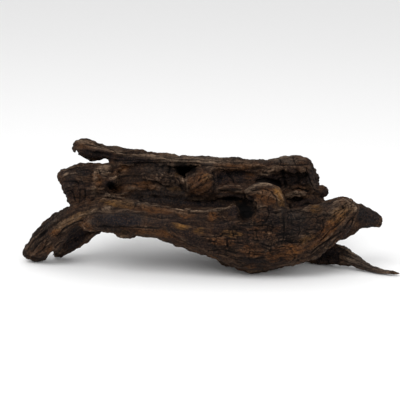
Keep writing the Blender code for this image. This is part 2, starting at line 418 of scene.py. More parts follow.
# The lines that the fibres of each limb follow: x, y, z and the limb's radius, in millimetres.
GRAIN_LINES: dict[str, Points] = {
    "front_lobe": ((-150, -29, 57, 5), (-129, -36, 63, 15), (-111, -41, 64, 16), (-66, -46, 62, 18),
        (-37, -48, 57, 20), (-8, -48, 50, 24), (15, -47, 45, 27), (39, -46, 41, 34), (56, -45, 40, 36),
        (80, -44, 43, 34), (101, -43, 46, 32), (119, -43, 51, 28), (135, -42, 60, 24), (149, -43, 70, 20),
        (168, -44, 77, 12)),
    "foot": ((-223, 6, 8, 9), (-212, 3, 12, 14), (-202, -2, 21, 17), (-189, -8, 34, 17),
        (-176, -13, 47, 17), (-164, -16, 57, 16), (-149, -18, 66, 15), (-133, -19, 72, 14),
        (-118, -17, 74, 12)),
    "foot_back_rib": ((-223, 7, 11, 5), (-217, 6, 19, 6), (-204, 3, 36, 7), (-187, -1, 53, 7),
        (-168, -4, 65, 6), (-152, -5, 74, 6)),
    "foot_web": ((-185, 18, 8, 7), (-178, 15, 15, 9), (-167, 10, 25, 12), (-153, 5, 40, 13),
        (-139, 0, 56, 14), (-124, -3, 66, 14)),
    "foot_front_rib": ((-193, -21, 37, 3), (-183, -27, 45, 5), (-167, -32, 55, 6), (-150, -34, 65, 6),
        (-132, -34, 73, 5), (-112, -31, 80, 5)),
    "left_lobe": ((-181, 11, 100, 7), (-170, 11, 101, 18), (-162, 11, 99, 23), (-146, 12, 96, 26),
        (-130, 14, 95, 26), (-112, 17, 94, 23)),
    "back_wall": ((-135, 23, 86, 22), (-94, 32, 84, 28), (-70, 35, 80, 31), (-33, 37, 74, 35),
        (4, 38, 69, 37), (42, 38, 64, 39), (79, 36, 63, 40), (106, 33, 65, 39), (130, 29, 62, 30),
        (140, 25, 62, 11)),
    "stick": ((-165, 31, 135, 5), (-153, 31, 136, 10), (-140, 31, 133, 11), (-120, 31, 129, 10),
        (-75, 30, 124, 10), (-45, 29, 120, 9), (-8, 29, 118, 10), (29, 30, 115, 10), (68, 31, 112, 12)),
    "right_top_lobe": ((68, 31, 105, 15), (88, 31, 109, 17), (102, 30, 112, 17), (114, 30, 112, 16),
        (126, 29, 105, 7)),
    "beak": ((140, -36, 48, 16), (150, -29, 57, 19), (164, -27, 62, 18), (176, -26, 65, 14),
        (187, -26, 64, 12), (204, -26, 59, 6)),
    "spike": ((122, 3, 12, 13), (138, -4, 11, 12), (149, -12, 13, 11), (162, -21, 13, 9), (173, -29, 10, 7),
        (184, -36, 7, 5), (199, -45, 5, 4), (226, -53, 3, 3)),
    "belly_keel": ((0, -25, 36, 11), (26, -27, 24, 16), (56, -28, 17, 18), (86, -28, 20, 16),
        (110, -25, 34, 11)),
    "back_upper_rib": ((-124, 43, 98, 6), (-96, 51, 98, 9), (-46, 57, 94, 10), (9, 59, 88, 10),
        (64, 59, 80, 11), (128, 41, 66, 5)),
    "back_lower_rib": ((-106, 41, 66, 6), (-76, 49, 60, 8), (-36, 55, 52, 9), (-1, 57, 46, 11),
        (29, 57, 42, 12)),
    "back_stub": ((70, 51, 96, 9), (73, 61, 99, 8), (75, 68, 101, 6)),
    "rear_root": ((10, 40, 60, 14), (24, 43, 50, 18), (44, 57, 26, 18), (62, 65, 10, 13), (74, 68, 0, 9)),
    "lip": ((-129, -25, 82, 5), (-102, -29, 77, 7), (-55, -31, 70, 8), (-26, -32, 66, 8), (4, -32, 65, 8),
        (23, -31, 70, 7), (35, -27, 76, 5)),
    "wall_swell": ((-86, 19, 98, 6), (-70, 15, 97, 11), (-54, 14, 94, 13), (-30, 19, 88, 6)),
    "boss": ((-24, 14, 78, 6), (-16, 11, 86, 12), (-7, 9, 96, 14), (6, 12, 104, 12), (16, 20, 108, 8)),
    "ear": ((44, -24, 88, 6), (50, -30, 98, 8), (60, -33, 101, 10), (72, -33, 96, 10), (82, -31, 84, 9),
        (90, -30, 70, 7)),
    "twist_ridge": ((96, -58, 20, 8), (116, -60, 31, 9), (130, -58, 42, 10), (142, -56, 55, 10),
        (151, -52, 68, 9), (156, -48, 80, 6)),
}


@dataclass(frozen=True)
class Knot:
    """A place where the fibres turn round a former twig: its middle, its axis and its radius."""

    middle: Place
    axis: Place
    radius: float


class Grain:
    """The way the fibres run, everywhere in and round the trunk. Sizes are in millimetres."""

    CELL = 5.0
    CORE = 0.05
    KNOT_REACH = 1.6
    THREAD_GAP = 400

    def __init__(self, lines: dict[str, Points], knots: list[Knot], low: np.ndarray, high: np.ndarray) -> None:
        """Work out the fibres' direction on a grid round the trunk.

        Args:
            lines: The lines that the limbs' fibres follow.
            knots: The places where fibres turn round something.
            low: Lowest corner of the grid, in millimetres.
            high: Highest corner of the grid, in millimetres.
        """
        self.lines = [np.array(line, float) for line in lines.values()]
        self.low = low
        self.counts = np.ceil((high - low) / self.CELL).astype(int) + 1
        steps = [np.arange(count) * self.CELL + start for count, start in zip(self.counts, low)]
        places = np.stack(np.meshgrid(*steps, indexing="ij"), -1).reshape(-1, 3)
        course = np.zeros_like(places)
        for line in self.lines:
            away, _, heading, _ = self.along(line, places)
            course += heading / (away**4 + self.CORE)[:, None]
        course = unit(course)
        for knot in knots:
            course = self.turned(course, places, knot)
        self.course = course.astype(np.float32)

    @staticmethod
    def along(line: np.ndarray, places: np.ndarray) -> tuple[np.ndarray, ...]:
        """Measure places against one grain line.

        Args:
            line: The line's points, with their radii.
            places: Places, one a row, in millimetres.

        Returns:
            Distance from the line in limb radii, length along it, the line's heading, and the offset from it.
        """
        starts, ends = line[:-1, :3], line[1:, :3]
        spans = ends - starts
        lengths = np.linalg.norm(spans, axis=1)
        headings = spans / lengths[:, None]
        bends = np.concatenate((headings[:1], (headings[:-1] + headings[1:]) / 2, headings[-1:]))
        travelled = np.concatenate(([0], np.cumsum(lengths)))
        best = np.full(len(places), np.inf)
        run = np.zeros(len(places))
        heading = np.zeros_like(places)
        offset = np.zeros_like(places)
        for i in range(len(spans)):
            share = np.clip((places - starts[i]) @ spans[i] / lengths[i] ** 2, 0, 1)
            apart = places - starts[i] - share[:, None] * spans[i]
            radius = line[i, 3] * (1 - share) + line[i + 1, 3] * share
            away = np.linalg.norm(apart, axis=1) / radius
            nearer = away < best
            best = np.where(nearer, away, best)
            run = np.where(nearer, travelled[i] + share * lengths[i], run)
            here = bends[i] * (1 - share)[:, None] + bends[i + 1] * share[:, None]
            heading = np.where(nearer[:, None], here, heading)
            offset = np.where(nearer[:, None], apart, offset)
        return best, run, heading, offset

    @classmethod
    def turned(cls, course: np.ndarray, places: np.ndarray, knot: Knot) -> np.ndarray:
        """Turn the fibres round a knot.

        Args:
            course: The fibres' direction at each place.
            places: Places, one a row, in millimetres.
            knot: What they turn round.

        Returns:
            The new directions.
        """
        axis = np.array(knot.axis) / np.linalg.norm(knot.axis)
        out = places - np.array(knot.middle)
        flat = out - np.outer(out @ axis, axis)
        away = np.linalg.norm(flat, axis=1) + 1e-6
        ring = np.cross(axis, flat) / away[:, None]
        ring *= np.sign(np.sum(ring * course, 1) + 1e-9)[:, None]
        share = np.exp(-((np.linalg.norm(out, axis=1) / (cls.KNOT_REACH * knot.radius)) ** 4))[:, None]
        bent = course * (1 - share) + ring * share
        return unit(bent)

    def at(self, places: np.ndarray) -> np.ndarray:
        """The direction of the fibres at some places.

        Args:
            places: Places, one a row, in millimetres.

        Returns:
            Directions of length one, read from the grid.
        """
        cells = np.clip((places - self.low) / self.CELL, 0, self.counts - 1.001)
        whole = cells.astype(np.int32)
        part = (cells - whole).astype(np.float32)
        total = np.zeros((len(places), 3), np.float32)
        for corner in product((0, 1), repeat=3):
            share = np.ones(len(places), np.float32)
            for axis, far_end in enumerate(corner):
                share *= part[:, axis] if far_end else 1 - part[:, axis]
            index = whole + np.array(corner)
            flat = (index[:, 0] * self.counts[1] + index[:, 1]) * self.counts[2] + index[:, 2]
            total += share[:, None] * self.course[flat]
        return unit(total, 1e-6)

    def streaks(
            self, places: np.ndarray, layers: list[tuple[SolidNoise, float, float]],
            step: float = 2.0, steps: int = 20,
    ) -> list[np.ndarray]:
        """Draw noise out along the fibres, so that it becomes streaks that follow every bend.

        Args:
            places: Places, one a row, in millimetres.
            layers: For each set of streaks its noise, its width and its half length in millimetres.
            step: How far apart the noise is read, in millimetres.
            steps: How many readings are taken each way.

        Returns:
            For each layer a number for each place, with a spread of about one.
        """
        sums = [np.zeros(len(places), np.float32) for _ in layers]
        for way in (1.0, -1.0):
            walker = places.copy()
            for count in range(steps):
                for total, (noise, width, reach) in zip(sums, layers):
                    share = max(0.0, 1 - count * step / reach)
                    if share > 0 and not (way < 0 and count == 0):
                        total += share * noise.read(walker / width)
                walker = walker + way * step * self.at(walker)
        return [total / (total.std() + 1e-6) for total in sums]

    def thread_places(self, places: np.ndarray) -> np.ndarray:
        """Measure places along and across the fibres.

        Args:
            places: Places, one a row, in millimetres.

        Returns:
            For each place its length along the nearest grain line and its two offsets from it, in millimetres.
        """
        best = np.full(len(places), np.inf)
        found = np.zeros_like(places)
        for number, line in enumerate(self.lines):
            away, run, heading, offset = self.along(line, places)
            heading = unit(heading, 0.0)
            across = unit(np.cross((0, 0, 1), heading))
            upward = np.cross(heading, across)
            nearer = away < best
            best = np.where(nearer, away, best)
            # The threads of one line never share a length with those of the next.
            length = run + self.THREAD_GAP * number
            own = np.stack((length, np.sum(offset * across, 1), np.sum(offset * upward, 1)), 1)
            found = np.where(nearer[:, None], own, found)
        return found


class Skin:
    """The wood's surface as arrays in millimetres, so that weather can be carved into it."""

    def __init__(self, mesh: bpy.types.Mesh) -> None:
        """Read a mesh of quads.

        Args:
            mesh: The mesh, in metres.
        """
        self.points = read_rows(mesh.vertices, "co", 3, np.float32).astype(float) / MM
        self.faces = read_rows(mesh.loops, "vertex_index", 1, np.int32).reshape(-1, 4)
        one, other = read_rows(mesh.edges, "vertices", 2, np.int32).T
        self.ends = np.concatenate((one, other))
        self.others = np.concatenate((other, one))
        self.neighbours = np.bincount(self.ends, minlength=len(self.points)).astype(float)

    def smoothed(self, values: np.ndarray, passes: int, share: float = 0.6) -> np.ndarray:
        """Even out values over the surface.

        Args:
            values: One number or one row for each point.
            passes: How many times each point takes on some of its neighbours' mean.
            share: How much of the mean it takes.

        Returns:
            The evened values.
        """
        columns = values.reshape(len(values), -1).astype(float).copy()
        for _ in range(passes):
            for column in range(columns.shape[1]):
                own = columns[:, column]
                mean = np.bincount(self.ends, own[self.others], len(own)) / self.neighbours
                columns[:, column] = own + share * (mean - own)
        return columns.reshape(values.shape)

    def normals(self) -> np.ndarray:
        """Find which way the surface faces.

        Returns:
            The outward direction at each point.
        """
        a, b, c, d = (self.points[self.faces[:, i]] for i in range(4))
        facing = np.cross(c - a, d - b)
        total = np.zeros_like(self.points)
        for column in range(3):
            for corner in range(4):
                total[:, column] += np.bincount(self.faces[:, corner], facing[:, column], len(self.points))
        return unit(total)

    def outward(self, passes: int) -> np.ndarray:
        """The outward direction at each point, evened over its surroundings.

        Args:
            passes: How many times it is evened.

        Returns:
            Directions of length one.
        """
        return unit(self.smoothed(self.normals(), passes))

    def push(self, heights: np.ndarray, directions: np.ndarray) -> None:
        """Move each point by its height along its direction, and never below the ground.

        Args:
            heights: How far each point moves, in millimetres.
            directions: Where each point moves.
        """
        self.points += heights[:, None] * directions
        self.points[:, 2] = np.maximum(self.points[:, 2], 0.0)

    def hollowness(self, passes: int, width: float) -> np.ndarray:
        """How far each point lies inside its evened surroundings, as a share of a width in millimetres."""
        even = self.smoothed(self.points, passes)
        return np.sum((even - self.points) * self.normals(), 1) / width


class Mark(Enum):
    """What growth or weather left along a line on the wood."""

    CRACK = "a narrow crack with sharp sides"
    # Its floor is painted darker: painted shade.
    GROOVE = "a rounded groove"
    # Its pale is rubbed wear and in part painted highlight.
    RIDGE = "a raised rib, worn pale"
    # A dark line is painted under the proud layer: painted shade.
    LEDGE = "the edge of a layer that stands proud above the line"


class Tone(Enum):
    """A colour that old ebony takes, patch by patch, save that pale is partly painted highlight, dark partly
    painted shade and black painted shade inside holes.
    """

    WARM = "orange-brown wood freshly worn"
    YELLOW = "yellow-brown sapwood"
    # Partly painted highlight: tops, ridges and the shaded spike are painted pale too.
    PALE_WEAR_AND_HIGHLIGHT = "wood worn light on edges and fibres"
    GREY = "cool grey-brown, washed by weather"
    # Partly painted shade: hollows, gaps and undersides are painted blue-black too.
    DARK_AND_SHADE = "blue-black wood in the hollows"
    # Painted shade: the insides of holes, the pit and the slits are painted black.
    HOLE_SHADE = "wood rotted black, deep in the holes"


class Texture(Enum):
    """How the surface has broken down, patch by patch."""

    CHECKED = "cracked into small blocks"
    CRUMBLED = "rotted into lumps"
    FIBROUS = "washed down to its fibres"
    SMOOTH = "worn smooth"
    KEPT = "broken off sharp, and hardly worn since"


@dataclass(frozen=True)
class Stroke:
    """One mark on the side that faces the camera: width and depth in millimetres, its line in pixels."""

    mark: Mark
    width: float
    depth: float
    line: Points


# How far from its line a mark still changes the wood, in widths of the mark.
LEDGE_REACH, LINE_REACH = 4.5, 2.2


@dataclass(frozen=True)
class Patch:
    """One oval patch on the side that faces the camera, in pixels, turned anticlockwise in degrees.

    It fades with depth over its reach, in millimetres.
    """

    kind: Tone | Texture
    strength: float
    px: float
    row: float
    long: float
    short: float
    turn: float = 0.0
    reach: float = 34.0


@dataclass(frozen=True)
class Sliver:
    """A small limb or a small cut, lofted through rings.

    Each ring has its pixel column and row, its y and its two half sizes in millimetres.
    """

    stations: Points
    roll: float = 0.0
    sides: int = 12

    def loft(self, shape: bmesh.types.BMesh, camera: PhotoCamera) -> None:
        """Add the sliver to a bmesh, closed at both ends.

        Args:
            shape: The bmesh that takes it, in metres.
            camera: The camera whose pixels give its places.
        """
        middles = [camera.at(*station[:3]) for station in self.stations]
        last = len(middles) - 1
        before = []
        for index, station in enumerate(self.stations):
            ahead = (middles[min(index + 1, last)] - middles[max(index - 1, 0)]).normalized()
            across = Vector((0, 0, 1)).cross(ahead)
            across = across.normalized() if across.length > 0.2 else Vector((1, 0, 0))
            upward = ahead.cross(across).normalized()
            across = upward.cross(ahead)
            seat = Matrix((across, upward, ahead)).transposed().to_4x4()
            spin = Matrix.Rotation(radians(self.roll), 4, "Z")
            sized = Matrix.Diagonal((station[3] * MM, station[4] * MM, 1, 1))
            ring = bmesh.ops.create_circle(
                shape, cap_ends=index in (0, last), segments=self.sides, radius=1.0,
                matrix=Matrix.Translation(middles[index] * MM) @ seat @ spin @ sized)["verts"]
            edge = list({e for v in ring for e in v.link_edges})
            if before:
                bmesh.ops.bridge_loops(shape, edges=before + edge)
            before = edge


C, G, R, L = Mark.CRACK, Mark.GROOVE, Mark.RIDGE, Mark.LEDGE

# Each row has its mark, its width and its depth, and then the pixels of its line.
STROKES = [Stroke(mark, width, depth, tuple(line)) for mark, width, depth, *line in (
    # The thin bright lip in front of the channel.
    (R, 1.7, 1.5, (104, 195), (112, 196.5), (122, 198.5), (135, 200.5), (143, 202)),
    (R, 1.2, 1.1, (140, 202), (150, 204.6), (160, 206.4), (175, 208), (190, 209.6), (205, 210.2),
     (215, 209.6)),
    (R, 1.1, 1.2, (212, 210), (222, 207.6), (231, 204.4), (238, 201.6)),
    # The ear's rim, and the curved cracks inside it.
    (R, 1.3, 1.3, (246, 190), (255, 185.5), (262, 183.5), (270, 184.5), (277, 189), (281, 197), (284, 207)),
    (C, 1.1, 1.4, (250, 192.5), (257, 189), (265, 188.6), (272, 192.4), (276, 199), (278, 206)),
    (C, 0.8, 1.1, (263, 190.5), (262, 196), (259, 201.5)),
    (C, 0.8, 1.0, (270, 193.5), (268.6, 199), (266.5, 204)),
    (G, 2.6, 3.0, (248, 195), (252, 198.5), (255, 203), (257, 206)),
    (C, 1.0, 1.6, (257, 208), (264, 207), (269, 208)),
    (C, 1.0, 1.6, (257, 212.5), (266, 212), (272, 213), (282, 212)),
    (C, 1.2, 1.8, (268, 206), (269, 214), (266, 221), (262, 223)),
    (C, 1.0, 1.6, (275, 217), (281, 218), (287, 217)),
    (C, 1.0, 1.4, (256, 225), (265, 224.5), (272, 226), (276, 228)),
    # Checks on the belly.
    (C, 1.4, 2.2, (223, 239), (231, 238.6), (238, 239.4)),
    (C, 1.6, 2.4, (226.5, 239), (227, 244), (227.5, 249)),
    (C, 1.1, 1.8, (237, 236), (238, 243), (244, 243.5)),
    (C, 1.1, 1.6, (208, 241), (214, 242), (215.5, 247), (216, 250)),
    (C, 1.2, 1.8, (206, 251), (214, 251.5), (222, 250.5), (232, 253), (240, 255)),
    (C, 1.2, 1.8, (260, 243), (266, 245), (272, 247)), (C, 1.0, 1.6, (272, 240), (271, 247), (269.5, 254)),
    (C, 1.2, 2.0, (283.5, 214), (284, 222), (284.5, 230), (284, 237), (281, 245)),
    (C, 1.0, 1.6, (279, 234), (288, 234), (297, 233.5)), (C, 1.0, 1.6, (283, 238), (291, 238.4), (297, 236)),
    (C, 1.1, 1.6, (278, 241), (286, 241.5), (292, 243), (300, 242.5), (306, 240)),
    (C, 1.0, 1.5, (285, 228), (291, 229), (297, 231)), (C, 1.0, 1.5, (240, 225), (248, 225.5), (256, 225)),
    (C, 0.9, 1.4, (213, 236), (221, 236.5), (223, 232)),
    (C, 0.9, 1.4, (247, 233), (248.5, 239), (247.5, 243)), (C, 0.9, 1.4, (256, 231), (257, 238), (259, 243)),
    (C, 1.0, 1.5, (273, 247), (280, 247.5), (287, 246)), (C, 1.0, 1.5, (231, 246), (229, 250), (236, 251)),
    (C, 1.0, 1.6, (236, 201), (238, 211), (255, 212)),
    (L, 2.2, 1.0, (168, 232), (190, 244), (205, 251.5), (213, 254.5)), (C, 0.9, 1.4, (232, 230), (234, 238)),
    (C, 0.9, 1.5, (265, 229), (268, 235), (266, 240)), (C, 0.9, 1.5, (291, 216), (292.6, 224)),
    (C, 0.9, 1.5, (299, 226), (300, 232), (296, 238)), (C, 0.9, 1.3, (262, 246), (270, 250), (280, 251)),
    (C, 0.9, 1.4, (222, 229), (232, 229.5), (244, 228.5)),
    (C, 0.9, 1.4, (248, 229.5), (258, 230), (268, 229)), (C, 0.9, 1.4, (272, 221.5), (282, 222), (292, 221)),
    (C, 1.0, 1.4, (288, 208), (300, 211), (312, 212)), (C, 0.9, 1.3, (295, 217), (306, 218), (316, 217)),
    (C, 0.9, 1.3, (222, 234.6), (233, 235), (240, 234)), (C, 0.9, 1.3, (200, 236), (210, 237), (217, 236)),
    (G, 2.6, 1.4, (232, 262), (245, 258), (256, 259), (268, 256)),
    (G, 2.4, 1.2, (240, 268), (255, 264), (270, 263)),
    # The nose and the arch's edge.
    (C, 1.2, 1.4, (90, 226.5), (110, 227.5), (130, 227), (150, 227.5), (166, 228)),
    (R, 1.6, 0.8, (80.5, 222), (82, 227), (88, 231.5), (97, 233)),
    (G, 2.4, 1.5, (80, 219), (84, 215), (95, 212), (108, 211)),
    (R, 3.6, 1.4, (101, 209.5), (106, 207.5), (112, 207)),
    # Foot.
    (G, 3.0, 2.4, (84, 205), (74, 213), (62, 219), (48, 228), (40, 236), (35, 241)),
    (R, 2.0, 1.0, (100, 207), (85, 212.5), (70, 219), (58, 225), (50, 230)),
    (C, 1.0, 1.2, (92, 212), (78, 217), (66, 223), (58, 227)),
    (C, 1.6, 1.8, (86, 219), (74, 223.5), (64, 229), (58, 236.5), (50, 237)),
    (C, 1.2, 1.5, (47, 233), (42, 240), (34, 249), (29, 254)),
    (C, 1.0, 1.3, (54, 241), (46, 247), (38, 254)), (C, 1.0, 1.2, (36, 238), (31, 244), (27, 251)),
    (G, 1.6, 1.4, (58, 238), (50, 246), (47, 250)), (R, 2.2, 1.2, (68, 238), (65, 244), (60, 251)),
    (C, 1.2, 1.4, (54, 248), (62, 241), (68, 236)),
    (C, 1.0, 1.0, (68, 207), (54, 217), (43, 226), (33, 238)),
    (C, 0.9, 0.9, (60, 210), (48, 219), (38, 229)),
    # Stick: lengthwise splits.
    (C, 1.2, 1.5, (80, 144), (95, 146), (112, 150), (130, 152.5), (148, 154)),
    (C, 1.0, 1.2, (84, 141), (100, 144.5), (118, 150.5), (140, 151.5)),
    (G, 2.2, 1.6, (84, 151), (98, 153), (112, 156.5), (126, 157)),
    (C, 1.0, 1.3, (110, 160), (130, 161), (150, 160.5), (170, 160)),
    (G, 2.4, 1.8, (118, 164), (140, 164), (160, 163.5), (175, 164.5)),
    (C, 1.0, 1.2, (150, 157), (175, 159), (205, 161), (235, 163)),
    (C, 1.0, 1.2, (185, 163.5), (205, 165), (225, 167), (245, 168)),
    # Left lobe: curved layers.
    (L, 1.8, 1.4, (61, 178), (68, 175.5), (77, 174.5), (88, 176)),
    (L, 1.6, 1.2, (63, 171), (70, 168), (79, 166.5), (90, 166)),
    (C, 1.3, 1.5, (62, 182), (68, 181), (76, 182), (80, 186)),
    (L, 1.8, 1.4, (63, 189), (69, 187), (76, 186.5)),
    (C, 1.3, 1.6, (65, 191.5), (71, 191), (74, 196), (76, 203)),
    (G, 2.0, 1.8, (81, 184), (86, 182.5), (91, 178), (91, 171), (86, 167.5), (82, 171)),
    (R, 4.2, 1.6, (97, 166), (95.5, 176), (94, 188), (91, 200)),
    (G, 2.4, 1.6, (98, 192), (95, 197), (90, 201)),
    (C, 1.1, 1.5, (98, 167), (101, 174), (107, 177), (109, 173)),
    (C, 1.0, 1.2, (80, 188), (80, 196), (79, 205)), (C, 1.0, 1.2, (85, 187), (85.5, 196), (84, 206)),
    (R, 3.6, 1.6, (108, 180.5), (113, 177.5), (120, 174), (128, 170)),
    (G, 2.2, 1.6, (112, 181), (120, 177.5), (130, 175), (140, 175.5)),
    (G, 2.4, 2.0, (111, 173), (115, 168), (122, 166), (130, 167)),
    (R, 1.8, 1.2, (104, 193.5), (112, 194.5), (121, 194), (130, 192)),
    (C, 1.2, 1.4, (106, 191.5), (114, 192), (120, 190)),
    # Channel wall and its swell.
    (C, 1.2, 1.4, (116, 185), (126, 183), (134, 184), (142, 187)),
    (C, 1.2, 1.4, (128, 190), (140, 190.5), (150, 192)),
    (R, 3.4, 1.2, (122, 189), (132, 187.6), (142, 188.4)), (R, 3.0, 1.0, (146, 186), (156, 187), (164, 190)),
    (G, 2.0, 1.4, (146, 180), (154, 181.5), (162, 186), (172, 189)),
    (G, 1.8, 1.4, (150, 172), (156, 170), (160, 174), (157, 179)),
    (R, 2.0, 1.2, (172, 171), (178, 172.5), (182, 177), (184, 184)),
    (G, 1.6, 1.2, (172, 177), (176, 181), (176, 187)),
    (G, 2.0, 1.6, (160, 168), (165, 164.5), (171, 168), (168, 174), (162, 173)),
    (G, 2.0, 1.6, (161, 179), (166, 176), (171, 179), (170, 184), (163, 183.5)),
    (C, 1.2, 1.6, (176, 176), (180, 181), (181, 188), (184, 194)),
    # Boss: streaks that curve down to the left.
    (C, 0.8, 1.0, (197, 171), (193, 178)), (C, 0.8, 1.1, (204, 171), (200, 178), (197, 183)),
    (C, 0.8, 1.1, (209, 177), (205, 183), (201, 187)), (C, 0.8, 1.0, (212, 185), (208, 191), (203, 194)),
    (C, 0.8, 1.0, (190, 184), (193, 190)), (C, 0.8, 1.0, (196, 188), (203, 184)),
    (C, 0.9, 1.2, (190, 195), (197, 197), (204, 193)), (R, 2.2, 0.7, (192, 200), (200, 200.4), (208, 197)),
    (C, 0.8, 1.0, (187.5, 189), (192.5, 184), (196, 178)),
    (R, 1.6, 0.8, (185, 178), (187.5, 184), (187, 193)),
    (G, 2.4, 2.0, (214, 172), (215.5, 180), (215, 188), (211, 196)),
    (C, 1.4, 1.8, (215, 178), (220, 176.5), (224, 178)),
    # Slits beside the ear.
    (C, 2.0, 3.4, (218, 191.5), (226, 189.5), (234, 189), (243, 190.5)),
    (C, 2.4, 3.4, (222, 199.5), (230, 197.5), (238, 198)),
    (C, 1.4, 1.8, (222, 184), (228, 181), (236, 183.5)), (C, 1.2, 1.6, (226, 173), (232, 178), (236, 184)),
    (R, 1.6, 1.2, (222, 187), (232, 185.5), (242, 187)),
    # Behind the ear.
    (R, 2.0, 1.2, (258, 178), (266, 175.5), (275, 173.5)),
    (G, 2.6, 2.2, (250, 170), (262, 168.5), (274, 169)),
    (G, 3.0, 3.0, (254, 182), (266, 180), (278, 183.5), (284, 191)),
    # Right hollow and top lobe.
    (G, 3.0, 2.4, (282, 168), (284, 180), (287, 190)), (G, 2.6, 2.0, (296, 168), (299, 178), (297, 186)),
    (C, 1.6, 2.0, (306, 166), (308, 176), (312, 186), (318, 193)),
    (L, 2.4, 1.6, (290, 189.5), (298, 188), (307, 190)), (C, 2.0, 2.4, (300, 206), (306, 203.5), (312, 205)),
    (C, 2.4, 2.6, (289, 203), (291, 208), (291, 213)), (C, 1.0, 1.4, (292, 197), (296, 200), (302, 199)),
    (C, 1.4, 1.6, (272, 163), (284, 165.5), (298, 165), (312, 164)),
    (C, 1.2, 1.4, (279, 157), (281, 162), (279, 167)), (C, 1.2, 1.4, (293, 156), (294, 162), (297, 166)),
    # Beak.
    (G, 2.0, 1.8, (321, 216), (327, 215), (334, 216.5), (337, 213)),
    (R, 1.4, 1.0, (318, 216), (324, 213), (333, 212.3), (340, 211.5)),
    (C, 1.6, 2.0, (357, 204), (356, 212), (353, 220), (350, 226), (341, 232.5), (330, 239), (318, 247),
     (308, 257)),
    (C, 1.0, 1.4, (352, 202), (350, 211), (343, 220), (334, 228), (326, 234)),
    (C, 1.0, 1.2, (347, 200), (345, 209), (338, 217)),
    (C, 1.0, 1.2, (344, 214), (338, 222), (330, 230), (322, 240)),
    (C, 1.0, 1.2, (322, 218), (324, 226), (321, 234)), (C, 1.0, 1.2, (355, 215), (349, 222), (343, 229)),
    (R, 2.4, 1.4, (331, 206), (338, 201), (343.5, 198), (350, 201.5), (355, 207), (356, 213)),
    (G, 1.8, 1.4, (336, 214), (341, 209), (346, 206)), (G, 1.6, 1.2, (343, 217), (348, 211.5), (350, 206)),
    (C, 1.2, 1.6, (305, 230), (314, 229), (322, 231)), (C, 1.0, 1.3, (302, 234), (312, 233), (320, 235)),
    # Spike.
    (C, 1.0, 1.0, (342, 254), (354, 259), (368, 265), (382, 270.5)),
    (C, 0.8, 0.8, (346, 262), (360, 266.5), (374, 270.5)),
    (L, 1.6, 1.2, (336, 246), (343, 250), (349, 254), (358, 258)),
)]

# D lays dark wood and painted shade, PA pale wear and painted highlight, B painted shade inside holes.
W, Y, PA, GR, D, B = Tone.WARM, Tone.YELLOW, Tone.PALE_WEAR_AND_HIGHLIGHT, Tone.GREY, Tone.DARK_AND_SHADE, Tone.HOLE_SHADE
CH, CR, FI, SM, KE = Texture.CHECKED, Texture.CRUMBLED, Texture.FIBROUS, Texture.SMOOTH, Texture.KEPT

